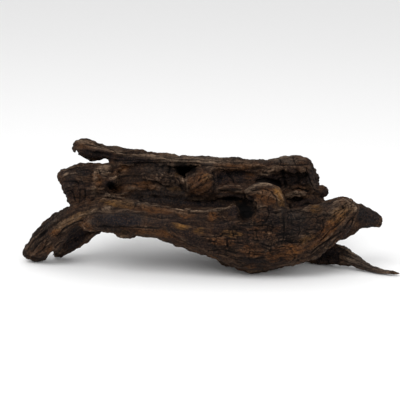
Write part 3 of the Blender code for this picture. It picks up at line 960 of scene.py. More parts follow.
# Each row has its kind, its strength, its middle and its two half sizes. Turned patches add their turn,
# and deep ones their reach too.
PATCHES = [Patch(*row) for row in (
    # Front lobe: grey on the left, warm patches in the middle, checks on the belly.
    (GR, 0.8, 122, 219, 34, 8), (SM, 0.8, 124, 219, 34, 8), (SM, 0.6, 175, 238, 34, 7, -25),
    (W, 0.5, 86, 226, 9, 6, -30), (PA, 0.35, 95, 222, 8, 4), (D, 0.95, 120, 220, 32, 8),
    (D, 0.52, 195, 240, 26, 7, -25), (D, 0.38, 242, 238, 30, 10), (D, 0.35, 286, 226, 20, 12),
    (D, 0.55, 266, 217, 12, 9), (D, 0.35, 240, 228, 26, 4), (D, 0.6, 314, 238, 12, 7, 40),
    (D, 0.38, 252, 250, 13, 7), (D, 0.3, 176, 219, 26, 7, -8), (D, 0.35, 160, 222, 26, 6, -10),
    (PA, 0.35, 272, 214, 10, 2), (W, 1.0, 185, 214, 9, 3.6, -8), (PA, 0.6, 186, 213, 8, 2.4, -8),
    (W, 0.8, 213, 216, 6, 4), (Y, 0.9, 181, 225.5, 10, 3.6, -8), (Y, 0.5, 199, 231, 6, 4),
    (Y, 0.8, 231, 234, 10, 4, -5), (W, 0.7, 222, 241, 16, 5, -5), (W, 0.95, 252, 250, 13, 8),
    (W, 1.0, 288, 251, 19, 8, 8), (W, 0.6, 272, 256, 10, 7), (Y, 0.5, 309, 238, 12, 5, 20),
    (W, 0.5, 262, 232, 20, 9), (D, 0.7, 224, 224, 12, 7), (D, 0.5, 217, 230, 6, 5),
    (D, 0.1, 262, 238, 60, 22), (D, 0.45, 255, 261, 10, 6), (W, 0.35, 249, 268, 8, 3),
    (CH, 1.0, 262, 238, 46, 26), (CH, 0.7, 224, 243, 26, 12, -15), (CH, 0.7, 300, 220, 26, 14),
    (CH, 0.35, 205, 220, 30, 10), (Y, 0.5, 316, 209, 7, 4), (GR, 0.6, 298, 217, 11, 5),
    (PA, 0.5, 108, 207.5, 7, 3), (W, 0.45, 150, 209, 34, 4, -6), (PA, 0.5, 128, 202, 34, 4, -8),
    (Y, 0.5, 118, 203, 22, 5, -8), (W, 0.35, 150, 232, 40, 4, -8),
    # Foot, with painted shade under its arch.
    (PA, 0.45, 74, 218, 28, 3.4, 28), (Y, 0.45, 74, 219, 26, 4, 28), (W, 0.8, 54, 233, 8, 4, 20),
    (D, 0.9, 74, 237, 17, 12, 35), (W, 0.3, 64, 244, 4, 6), (PA, 0.35, 30, 249, 7, 8),
    (GR, 0.5, 45, 226, 30, 5, 45), (W, 0.25, 40, 250, 16, 9, 40), (FI, 0.9, 52, 228, 40, 14, 38),
    (W, 0.5, 49, 250, 7, 3, 35),
    # Stick and rim: pale along their tops, partly a painted highlight, and dark beneath the stick, painted shade.
    (PA, 0.7, 98, 145, 32, 4, -12), (PA, 0.55, 180, 158, 60, 4, -3), (D, 0.85, 96, 153.5, 26, 4.5, -10),
    (D, 0.6, 130, 160, 26, 4), (FI, 1.0, 130, 152, 70, 9, -6), (FI, 0.8, 210, 161, 60, 7, -2),
    (W, 0.3, 86, 145, 8, 4), (W, 0.4, 236, 166, 26, 5), (GR, 0.7, 220, 160, 60, 4, -2),
    # Left lobe.
    (D, 0.55, 78, 190, 16, 14), (GR, 0.5, 72, 172, 12, 8), (D, 0.7, 86, 172, 5, 6),
    (PA, 0.7, 103, 170, 8, 7, -30), (PA, 0.45, 95, 184, 3, 18), (W, 0.5, 97, 180, 5, 14),
    (D, 1.0, 110, 185, 6, 5), (PA, 0.5, 112, 195, 10, 3), (CR, 0.5, 80, 184, 22, 18),
    (W, 0.35, 118, 172, 14, 5, 30), (W, 0.4, 122, 191, 16, 5),
    # Channel, swell and boss, with painted shade on the channel floor and in the hole under the rim.
    (D, 0.5, 155, 197, 38, 7, -4), (GR, 0.6, 160, 196, 34, 6, -4), (D, 0.8, 186, 170, 18, 8),
    (CR, 0.8, 160, 178, 26, 14), (W, 0.6, 146, 186, 16, 5, -5), (GR, 0.5, 160, 168, 18, 7),
    (Y, 0.3, 174, 190, 8, 4), (W, 0.7, 200, 183, 13, 14), (Y, 0.3, 206, 178, 6, 6, -20),
    (PA, 0.15, 186, 180, 4, 12), (D, 0.3, 200, 186, 14, 16), (FI, 0.8, 200, 183, 16, 18),
    (CR, 0.5, 200, 183, 16, 18), (D, 0.85, 241, 176, 6, 6), (D, 0.55, 231, 181, 18, 12),
    (Y, 0.3, 177, 176, 4, 5), (CR, 0.5, 230, 178, 20, 14), (D, 0.8, 219, 179, 5, 6),
    (W, 0.35, 230, 186, 12, 7), (D, 0.8, 231, 198, 10, 4), (D, 0.7, 205, 204, 22, 3.5, -4),
    # Ear, with painted shade in the pit before it.
    (PA, 0.6, 262, 184.6, 17, 1.7, 4), (PA, 0.8, 250, 188.5, 6, 2.4, 25), (Y, 0.9, 279, 197, 4, 12, 20),
    (W, 0.6, 265, 197, 15, 9), (PA, 0.4, 258, 204, 8, 5), (W, 0.5, 260, 218, 9, 4, 20),
    (D, 0.8, 252, 198, 4, 5, -40), (D, 1.0, 247, 211, 9, 12), (GR, 0.3, 280, 213, 8, 6),
    (FI, 0.6, 266, 200, 18, 16), (D, 0.3, 265, 199, 12, 8), (D, 0.4, 268, 214, 13, 8),
    (D, 0.7, 235, 212, 7, 8),
    # Right hollow and top lobe, with painted shade in the hollow and in the gap behind the ear.
    (D, 0.75, 297, 178, 20, 12), (D, 0.7, 268, 180, 18, 6), (D, 0.8, 305, 203, 16, 6),
    (CR, 1.0, 298, 186, 26, 24), (CR, 0.6, 262, 172, 20, 10), (GR, 0.8, 290, 160, 20, 5),
    (PA, 0.6, 291, 159, 18, 5), (W, 0.75, 298, 187.5, 8, 3), (PA, 0.5, 297, 194, 9, 4.5),
    (W, 0.35, 300, 160, 8, 5), (GR, 0.6, 296, 197, 10, 6), (D, 0.4, 315, 180, 7, 14),
    (GR, 0.7, 312, 176, 7, 14), (D, 0.6, 326, 192, 7, 6), (W, 0.4, 248, 176, 8, 4),
    (PA, 0.4, 268, 174, 10, 2.5),
    # Beak.
    (PA, 1.0, 348, 205, 9, 8, -20), (D, 0.25, 338, 222, 18, 10, 45), (PA, 0.5, 338, 212, 12, 6, 30),
    (Y, 0.6, 340, 214, 16, 7, 35), (W, 0.9, 333, 224, 18, 7, 45), (W, 0.7, 318, 238, 16, 6, 40),
    (FI, 0.8, 334, 222, 30, 14, 45), (D, 0.75, 367, 221, 13, 8, -10), (D, 0.8, 368, 214, 14, 9, -25),
    (GR, 1.0, 368, 215, 14, 9, -25), (SM, 0.9, 366, 217, 16, 12), (W, 0.3, 370, 211, 10, 3, -35),
    (D, 0.7, 346, 231, 9, 4, 40), (D, 0.35, 328, 215, 6, 2.6, 10), (GR, 0.4, 330, 206, 14, 5, 10),
    # Painted shade: black inside the holes, the pit and the slits.
    (B, 1.0, 247, 210, 11, 12, 0, 70), (B, 1.0, 184, 170, 16, 9, 0, 70), (B, 0.8, 110, 185, 5, 4),
    (B, 0.8, 268, 182, 14, 3.6), (B, 0.8, 232, 198.5, 10, 2.5), (B, 0.8, 231, 190, 13, 2),
    # Spike: its pale patch is a painted highlight where it lies in shade under the beak, and its root is painted
    # dark as painted shade.
    (D, 0.9, 326, 254, 18, 11), (CR, 0.8, 326, 254, 20, 11), (PA, 1.0, 368, 266, 32, 8, -24),
    (GR, 1.0, 366, 265, 30, 7, -24), (D, 0.25, 366, 265, 30, 7, -24), (GR, 0.6, 352, 256, 14, 6, -35),
    (SM, 0.7, 372, 267, 28, 6, -22), (FI, 0.5, 352, 260, 22, 8, -26),
    # Ends and edges that broke off sharp.
    (KE, 0.8, 122, 199, 20, 4, -12), (KE, 0.8, 175, 208, 38, 4, -4), (KE, 0.8, 226, 206, 14, 4, 24),
    (KE, 1.0, 77, 147, 9, 10), (KE, 0.8, 85, 140, 9, 3, -10), (KE, 0.9, 378, 221, 8, 9),
    (KE, 1.0, 50.5, 254, 7, 8), (KE, 0.8, 325, 190, 6, 6), (KE, 0.7, 266, 186, 20, 5),
    (KE, 0.9, 343, 247, 6, 4), (KE, 0.9, 356, 257, 6, 4), (KE, 0.8, 230, 190.5, 17, 3),
    (KE, 0.8, 231, 198, 12, 3), (KE, 1.0, 372, 267, 34, 10, -20), (KE, 0.6, 343, 198, 8, 4),
    (KE, 0.7, 247, 210, 14, 14),
)]

ADDED = [
    # The stick's even slope, its dark cap, its split tip and the bump below it.
    Sliver(((86, 143, 31, 4, 3.2), (94, 143.4, 31, 4, 3.4), (102, 145.2, 31, 4, 3.2),
            (109, 148.2, 31, 4, 2.8))),
    Sliver(((134, 151.8, 29, 5, 3), (143, 152.2, 29, 6, 3.2), (151, 153.4, 29, 6, 3.2),
            (159, 155.4, 29, 5, 3))),
    Sliver(((90, 140.6, 31, 2.5, 1.8), (85, 139.2, 31, 2.6, 1.7), (80, 138.6, 31, 1.8, 1.1)), sides=8),
    Sliver(((80, 143, 30, 3, 3), (75.5, 143.5, 30, 3, 2.6), (73.4, 147, 30, 2.6, 1.4),
            (74, 152, 30, 1.4, 0.9))),
    Sliver(((82, 152, 30, 5, 3), (87, 155.3, 30, 6, 3.4), (92, 157.8, 30, 6, 4.2), (97, 157.4, 30, 5, 4.4),
            (104, 157, 30, 4, 4))),
    # Wood that closes the right end of the gap under the stick.
    Sliver(((98, 156.4, 29, 5, 3.4), (104, 157.4, 29, 6, 3.4), (110, 159.4, 28, 7, 3.4),
            (115, 162.5, 27, 8, 4.6), (124, 163, 26, 8, 5), (134, 163, 26, 6, 4))),
    Sliver(((90, 166.4, 14, 6, 3), (98, 165.6, 14, 8, 3), (106, 165.6, 15, 8, 3.2), (113, 166.4, 19, 8, 4),
            (121, 167, 22, 7, 4))),
    # The lobe's upper edge and its ragged lower corner.
    Sliver(((64, 173, 5, 5, 4), (69, 169.4, 7, 6, 4.6), (75, 166.8, 9, 6, 4.2), (83, 165.8, 11, 6, 4))),
    Sliver(((67, 186, 2, 8, 7), (70, 194, -1, 8, 8), (73.5, 201, -5, 7, 7), (79, 206, -8, 7, 6))),
    # The knobs on the right end.
    Sliver(((310, 189, 18, 9, 8), (317, 190.8, 18, 8, 8.2), (322, 191.4, 18, 7, 7.8),
            (326, 191.4, 18, 5, 6), (328.6, 191.2, 18, 2.4, 2.8))),
    Sliver(((311, 200, 12, 8, 7), (318, 202, 12, 7, 5.8), (323, 203, 12, 5.5, 4.6),
            (327.4, 204.4, 12, 3, 2.4))),
    # The boss, which grows down to the channel floor, and its two flanks.
    Sliver(((203, 168, 22, 12, 8), (201, 177, 17, 15, 8), (199, 189, 13, 16, 7), (199, 201, 9, 14, 5))),
    Sliver(((188, 178, 21, 5, 5), (195, 171.6, 22, 7, 6), (206, 169, 23, 8, 6), (216, 171, 24, 6, 6),
            (222, 175, 26, 5, 5))),
    Sliver(((192, 180, 17, 6, 5), (190, 187, 14, 7, 6), (190, 197, 10, 7, 5))),
    Sliver(((208, 171, 22, 8, 5), (212, 179, 19, 7, 6), (212, 190, 16, 7, 6), (210, 199, 12, 7, 5))),
    Sliver(((186, 181, 17, 5, 6), (186.5, 190, 13, 7, 6), (187, 200, 11, 7, 5))),
    Sliver(((212, 172, 24, 7, 7), (215, 184, 19, 8, 7), (216, 197, 15, 8, 5))),
    # Layers beside the ear, with slits between them.
    Sliver(((212, 186, 17, 8, 4), (222, 185.4, 15, 9, 5.6), (234, 185.6, 14, 9, 5.8), (246, 187, 11, 8, 5))),
    Sliver(((214, 194.4, 12, 6, 3.4), (224, 194, 11, 8, 3.8), (236, 194, 9, 8, 3.6), (246, 196, 4, 7, 4))),
    # The ear's rim and body, and the wood that joins it to the belly.
    Sliver(((246.5, 191, -32, 4, 2.2), (254, 187, -34, 5, 3), (262, 185.2, -34, 5, 3),
            (270, 186, -34, 5, 3), (276.6, 190.4, -33, 5, 3.2), (280.6, 197.5, -33, 5, 3.5),
            (283.4, 207, -35, 5, 3.5))),
    Sliver(((252, 194, -27, 8, 7), (262, 193, -28, 9, 9), (271, 195, -28, 9, 9), (277, 202, -29, 8, 8))),
    Sliver(((261, 198, -33, 9, 8), (262, 206, -39, 9, 8), (263, 214, -46, 9, 8), (264, 223, -55, 8, 6))),
    Sliver(((275, 199, -33, 8, 8), (276, 206, -38, 9, 8), (277, 214, -46, 9, 8), (278, 223, -55, 8, 6))),
    # The shin's outer edge, and the web's edge under the arch.
    Sliver(((46, 225.4, -6, 6, 4), (37.4, 231.6, -1, 6, 4.6), (33, 239.6, 2, 6, 4.6),
            (29.6, 246.8, 6, 5, 4))),
    Sliver(((100, 230.6, -12, 6, 3.4), (95, 232.4, -10, 6, 3.4), (88, 237.8, -4, 6, 3.6),
            (79, 246.2, 5, 6, 4.2), (75, 248.4, 8, 5, 2.4))),
    # The bump under the front lobe's left end.
    Sliver(((115, 230.6, -50, 6, 3), (120, 233.4, -52, 7, 3.8), (126, 234.2, -54, 7, 3.4),
            (132, 233.6, -55, 5, 2.4))),
    # The toe's square end and the web's corner behind it.
    Sliver(((42, 246, 6, 8, 7), (32, 250.3, 8, 7, 5), (26, 252.2, 9, 5, 2.4), (23, 252.4, 9, 2.5, 0.9))),
    Sliver(((46, 256, 1, 6, 5), (40, 258.4, 2, 6, 3.4), (33.5, 259.6, 3, 5, 1.9))),
    Sliver(((72, 248.2, 17, 6, 5.2), (62, 252.2, 18, 5, 4.4), (57, 254.6, 18, 4.4, 3.2),
            (54.6, 256, 18, 2.8, 1.9))),
    # The beak's sawn-off end.
    Sliver(((366, 216.4, -26, 9, 9.8), (372, 219.6, -26, 8, 9), (376, 221.4, -26, 8, 7.6),
            (381.2, 222.4, -26, 7, 6)), sides=9),
    # The beak's humped brow.
    Sliver(((328, 206, -32, 6, 4), (336, 202.4, -31, 7, 5.2), (343.4, 200, -30, 6, 5.4),
            (349.4, 202.4, -30, 6, 5.2), (354, 206.4, -30, 5, 4.4))),
    # Wood round the spike.
    Sliver(((342, 255.6, -18, 7, 5.4), (352, 260, -23, 7, 5.6), (362, 265.4, -30, 6, 4.8),
            (371, 268.8, -36, 5, 4), (381, 271.2, -42, 4, 2.8), (391, 272.6, -47, 3, 1.9),
            (398.6, 273.4, -51, 1.6, 1.1))),
    # Nodules on the channel's wall and lumps in the right hollow.
    Sliver(((152, 176, 15, 5, 4), (158, 175, 13, 6, 5), (164, 176.5, 15, 4, 4))),
    Sliver(((172, 176, 15, 4, 4), (177, 178, 14, 5, 5), (180, 184, 14, 4, 5))),
    Sliver(((286, 194, 14, 5, 4), (294, 192.6, 12, 6, 5), (302, 193.6, 13, 6, 5), (309, 196, 15, 4, 4))),
    Sliver(((302, 172, 24, 6, 5), (307, 179, 22, 6, 5), (309, 187, 20, 5, 4))),
    # Barbs on the spike.
    Sliver(((334, 248, -10, 5, 2.6), (341, 246.6, -12, 3.4, 1.6), (345, 246.4, -13, 1.2, 0.6)), sides=8),
    Sliver(((345, 252.5, -16, 5, 2.6), (353, 255.4, -19, 3.4, 1.7), (359, 257.2, -22, 1.2, 0.6)), sides=8),
]

REMOVED = [
    # The slit beside the toe, which shows the floor behind.
    Sliver(((50.4, 255.2, -40, 2.0, 7.2), (50.4, 255.2, 0, 2.0, 7.2), (50.4, 255.2, 34, 2.0, 7.2)), roll=40),
    # The notch in the stick's tip.
    Sliver(((76.7, 152.4, 5, 1.5, 5.0), (76.7, 152.4, 31, 1.5, 5.0),
            (76.7, 152.4, 60, 1.5, 5.0)), roll=-6, sides=10),
    # The rounding of the left lobe's upper corner, and the end of the beak.
    Sliver(((53.0, 167.0, -30, 10.6, 10.6), (53.0, 167.0, 60, 10.6, 10.6)), sides=24),
    Sliver(((387.2, 200, -26, 7, 30), (387.2, 238, -26, 7, 30))),
    # The spike's upper edge, pared down to a straight slope.
    Sliver(((346.2, 245.7, -26, 26, 3.4), (351.6, 249.4, -28, 26, 3.4), (359.6, 255.8, -32, 26, 3.4),
            (366.8, 260.4, -36, 26, 3.3), (375.6, 263.6, -40, 26, 3.2), (386, 266.6, -45, 26, 3.2)), sides=8),
    # The three-cornered hole under the rim.
    Sliver(((185, 169, -2, 24, 10.8), (185, 169, 20, 24, 10.8), (185, 169, 40, 18, 9),
            (185, 169, 47, 10, 5)), roll=180, sides=3),
    # The black pit in front of the ear.
    Sliver(((246.6, 211, -64, 11.4, 12.4), (247, 210.6, -40, 11.4, 12.6), (247.5, 209.6, -20, 9, 10),
            (248, 209, -12, 5, 6)), sides=10),
    # The gap behind the ear, and the deepest part of the right hollow.
    Sliver(((252, 183, 2, 3, 3), (262, 181, 6, 8, 5), (272, 182, 10, 9, 6), (282, 187, 12, 8, 7),
            (290, 186, 14, 8, 9), (300, 178, 16, 8, 9), (306, 173, 18, 5, 5))),
    # Slits beside the ear.
    Sliver(((218, 191.4, 8, 7, 0.8), (226, 189.8, 8, 8, 1.3), (235, 189.4, 6, 8, 1.4),
            (245, 191, 2, 7, 1.0)), sides=8),
    Sliver(((222, 199.6, 6, 7, 0.9), (230, 198, 5, 8, 1.6), (240, 198, 2, 8, 1.5)), sides=8),
]

# The knots that show in the photograph: pixel column and row, and radius in millimetres.
SEEN_KNOTS = (
    (163, 169, 6), (166, 180, 6), (86, 173, 8), (55, 233, 6), (110, 185, 9), (330, 215, 7), (262, 232, 9))

# What each of the wood's fields holds, number by number.
FIELDS = {
    "wood_tones_and_painted_highlight": ("warm", "yellow", "pale"),
    "wood_shades_and_painted_shade": ("grey", "dark", "crack"),
    "wood_wear_and_painted_shade": ("streak", "hollow", "checked"),
}


@dataclass(frozen=True)
class Wash:
    """One colour that lies over the ones before it, as far as a pattern and a field let it.

    The pattern's numbers from low to high become shares from least to most.
    """

    colour: str
    field: str = ""
    pattern: str = ""
    low: float = 0.0
    high: float = 1.0
    least: float = 0.0
    most: float = 1.0


@dataclass(frozen=True)
class WeatheredEbony:
    """Old ebony, dug up and washed: near-black heartwood with worn brown edges and no polish.

    Water and weather wore it, so it is dull, its fibres stand out and its cracks stay black.
    Its hollows, grooves and holes are painted near-black as painted shade, and its tops and ridges
    paler, in part as painted highlight.
    Real ebony fibres are about 0.1 mm wide, too fine to show here, so a bundle of them is drawn.
    Sizes are in millimetres.
    """

    near_black: str = "#0d0909"
    brown: str = "#291b14"
    light_brown: str = "#543d2c"
    warm: str = "#643e1e"
    yellow: str = "#745128"
    pale: str = "#927b66"
    grey: str = "#2d2a28"
    blue_black_and_shade: str = "#0d0e14"
    # This crack colour also paints hollows, grooves and holes: painted shade.
    crack: str = "#040303"
    bundle_width: float = 0.9
    bundle_length: float = 16.0
    strand_width: float = 2.6
    strand_length: float = 24.0
    blotch: float = 7.0
    speck: float = 3.0
    dust: float = 1.3
    check_length: float = 6.8
    check_width: float = 3.7
    check_bend: float = 3.0
    bend_size: float = 6.0
    ior: float = 1.5
    gloss: float = 0.07
    relief: float = 0.5
    relief_height: float = 0.6

    @property
    def washes(self) -> tuple[Wash, ...]:
        """List the colours in the order in which they are laid.

        Returns:
            The layers, from the lowest to the topmost.
        """
        return (
            Wash(self.brown, "streak"),
            Wash(self.light_brown, "streak", "fibres", 0.34, 0.64, 0.0, 0.62),
            Wash(self.near_black, "", "blotches", 0.4, 0.68, 0.0, 0.46),
            Wash(self.warm, "warm", "fibres", 0.3, 0.6, 0.45, 1.0),
            Wash(self.yellow, "yellow", "blotches", 0.3, 0.62, 0.35, 1.0),
            Wash(self.grey, "grey", "blotches", 0.3, 0.65, 0.5, 1.0),
            # Pale wear, and in part a painted highlight.
            Wash(self.pale, "pale", "fibres", 0.32, 0.62, 0.25, 1.0),
            # Dark wood, and painted shade in hollows, gaps and undersides.
            Wash(self.blue_black_and_shade, "dark", "specks", 0.3, 0.7, 1.0, 0.72),
            Wash(self.near_black, "", "specks", 0.5, 0.34, 0.0, 0.62),
            Wash(self.near_black, "", "strands", 0.5, 0.37, 0.0, 0.78),
            Wash(self.light_brown, "", "dust", 0.54, 0.7, 0.0, 0.42),
            Wash(self.near_black, "", "dust", 0.46, 0.3, 0.0, 0.42),
            Wash(self.near_black, "checked", "blocks", 0.5, 0.75, 0.0, 0.5),
            Wash(self.crack, "checked", "checks", 0.02, 0.1, 0.95, 0.0),
            # Painted shade: hollows are painted crack-black.
            Wash(self.crack, "hollow"),
            # Cracks, and painted shade in groove floors, under ledges and inside holes.
            Wash(self.crack, "crack"),
        )

    def make(self) -> bpy.types.Material:
        """Make the wood's material.

        Returns:
            The material, which reads the trunk's fields wood_tones_and_painted_highlight, wood_shades_and_painted_shade, wood_wear_and_painted_shade and grain_places.
        """
        ebony = bpy.data.materials.new("weathered_ebony_washed_by_water")
        ebony.use_nodes = True
        tree = ebony.node_tree
        surface = tree.nodes["Principled BSDF"]
        fields = {}
        for name, parts in FIELDS.items():
            held = add_node(tree, "ShaderNodeAttribute", {"attribute_name": name})
            split = add_node(tree, "ShaderNodeSeparateXYZ", None, {0: held.outputs["Vector"]})
            fields |= dict(zip(parts, split.outputs))
        patterns = self.patterns(tree)
        colour: bpy.types.NodeSocket | tuple[float, ...] = linear(self.near_black)
        for wash in self.washes:
            share = fields.get(wash.field)
            if wash.pattern:
                shown = add_node(tree, "ShaderNodeMapRange", None, {
                    0: patterns[wash.pattern], 1: wash.low, 2: wash.high, 3: wash.least, 4: wash.most}).outputs[0]
                share = shown if share is None else add_node(
                    tree, "ShaderNodeMath", {"operation": "MULTIPLY"}, {0: share, 1: shown}).outputs[0]
            colour = add_node(tree, "ShaderNodeMix", {"data_type": "RGBA"},
                              {0: share, 6: colour, 7: linear(wash.colour)}).outputs[2]
        # Worn fibres shine a little more than rotted ones.
        fibres, specks = patterns["fibres"], patterns["specks"]
        worn = add_node(tree, "ShaderNodeMapRange", None, {0: fibres, 1: 0.3, 2: 0.7, 3: 0.66, 4: 0.92})
        rough = add_node(tree, "ShaderNodeMath", {"operation": "ADD"}, {0: fibres, 1: specks})
        bump = add_node(tree, "ShaderNodeBump", None, {
            "Strength": self.relief, "Distance": self.relief_height * MM, "Height": rough.outputs[0]})
        for name, value in (("Base Color", colour), ("Roughness", worn.outputs[0]), ("Normal", bump.outputs[0])):
            tree.links.new(value, surface.inputs[name])
        for name, value in (("IOR", self.ior), ("Specular IOR Level", self.gloss), ("Metallic", 0.0)):
            surface.inputs[name].default_value = value
        return ebony

    def patterns(self, tree: bpy.types.NodeTree) -> dict[str, bpy.types.NodeSocket]:
        """Add the wood's patterns, each at its size in millimetres.

        Args:
            tree: The material's node tree.

        Returns:
            The output of each pattern, by name.
        """
        grain = add_node(tree, "ShaderNodeAttribute", {"attribute_name": "grain_places"}).outputs["Vector"]
        place = add_node(tree, "ShaderNodeTexCoord").outputs["Object"]
        found = {}
        for name, length, width in (("fibres", self.bundle_length, self.bundle_width),
                                    ("strands", self.strand_length, self.strand_width)):
            along = add_node(tree, "ShaderNodeVectorMath", {"operation": "MULTIPLY"},
                             {0: grain, 1: (1 / length, 1 / width, 1 / width)})
            found[name] = add_node(tree, "ShaderNodeTexNoise", None, {
                "Vector": along.outputs[0], "Scale": 1.0, "Detail": 3.0, "Roughness": 0.6}).outputs[0]
        for name, size, detail in (("blotches", self.blotch, 4.0), ("specks", self.speck, 2.0),
                                   ("dust", self.dust, 1.0)):
            found[name] = add_node(tree, "ShaderNodeTexNoise", None, {
                "Vector": place, "Scale": 1 / (size * MM), "Detail": detail, "Roughness": 0.63}).outputs[0]
        # The checks run across the grain, and noise bends them.
        bend = add_node(tree, "ShaderNodeTexNoise", None,
                        {"Vector": place, "Scale": 1 / (self.bend_size * MM), "Detail": 2.0})
        bent = add_node(tree, "ShaderNodeVectorMath", {"operation": "MULTIPLY_ADD"},
                        {0: bend.outputs["Color"], 1: (self.check_bend,) * 3, 2: grain})
        across = 1 / self.check_width
        cells = add_node(tree, "ShaderNodeVectorMath", {"operation": "MULTIPLY"},
                         {0: bent.outputs[0], 1: (1 / self.check_length, across, across)})
        for name, feature, output in (("checks", "DISTANCE_TO_EDGE", "Distance"), ("blocks", "F1", "Color")):
            found[name] = add_node(tree, "ShaderNodeTexVoronoi", {"feature": feature},
                                   {"Vector": cells.outputs[0], "Scale": 1.0}).outputs[output]
        return found


@dataclass(frozen=True)
class Weather:
    """What growth and weather left on the wood: how large it is and how far it stands out, in millimetres.

    Each set of streaks has the number of its noise, its width and its half length. Blocks and crumbs
    have three sizes, and areas are how far apart spots with much and with little of something lie.
    """

    sharpness: float = 0.35
    streaks: Points = ((0, 13.0, 40.0), (1, 7.5, 40.0), (2, 4.2, 26.0), (3, 2.6, 16.0), (4, 5.0, 36.0))
    broad_height: float = 0.8
    furrow_height: float = 0.65
    rib_height: float = 0.4
    fibre_height: float = 0.28
    lump_size: float = 20.0
    lump_height: float = 1.4
    knob_size: float = 8.5
    knob_height: float = 1.1
    grit_size: float = 3.4
    fissure_width: float = 0.13
    fissure_depth: float = 1.6
    fissured_area: float = 38.0
    deeper_behind: float = 0.9
    block: Place = (8.0, 5.2, 5.2)
    small_block: Place = (4.6, 3.2, 3.2)
    bend_size: float = 6.0
    bend: float = 1.6
    checked_area: float = 30.0
    open_area: float = 11.0
    check_depth: float = 1.3
    fine_check_depth: float = 0.5
    block_height: float = 0.35
    crumb: Place = (11.0, 8.0, 7.0)
    crumb_bend: float = 2.5
    crumb_height: float = 1.5
    crumbled_area: float = 34.0
    ring_width: float = 3.6
    ring_height: float = 0.35
    split_ring: float = 3.2
    split_length: float = 40.0
    split_width: float = 0.07
    split_depth: float = 2.0


@dataclass(frozen=True)
class StainsAndPaintedLight:
    """How the wood's tones lie, in millimetres. Noise that drifts keeps the edges of broad stains ragged.

    Hollows and edges are found at three sizes, each given by how many times the surface is evened and
    by the depth that counts as one. Hollows found so are painted dark as painted shade, and edges pale,
    as wear and in part as painted highlight.
    """

    drift_size: float = 17.0
    drift: float = 19.0
    broad_area: float = 42.0
    yellow_area: float = 25.0
    dark_area: float = 36.0
    fine: tuple[int, float] = (3, 0.35)
    mid: tuple[int, float] = (14, 1.1)
    deep: tuple[int, float] = (70, 3.0)


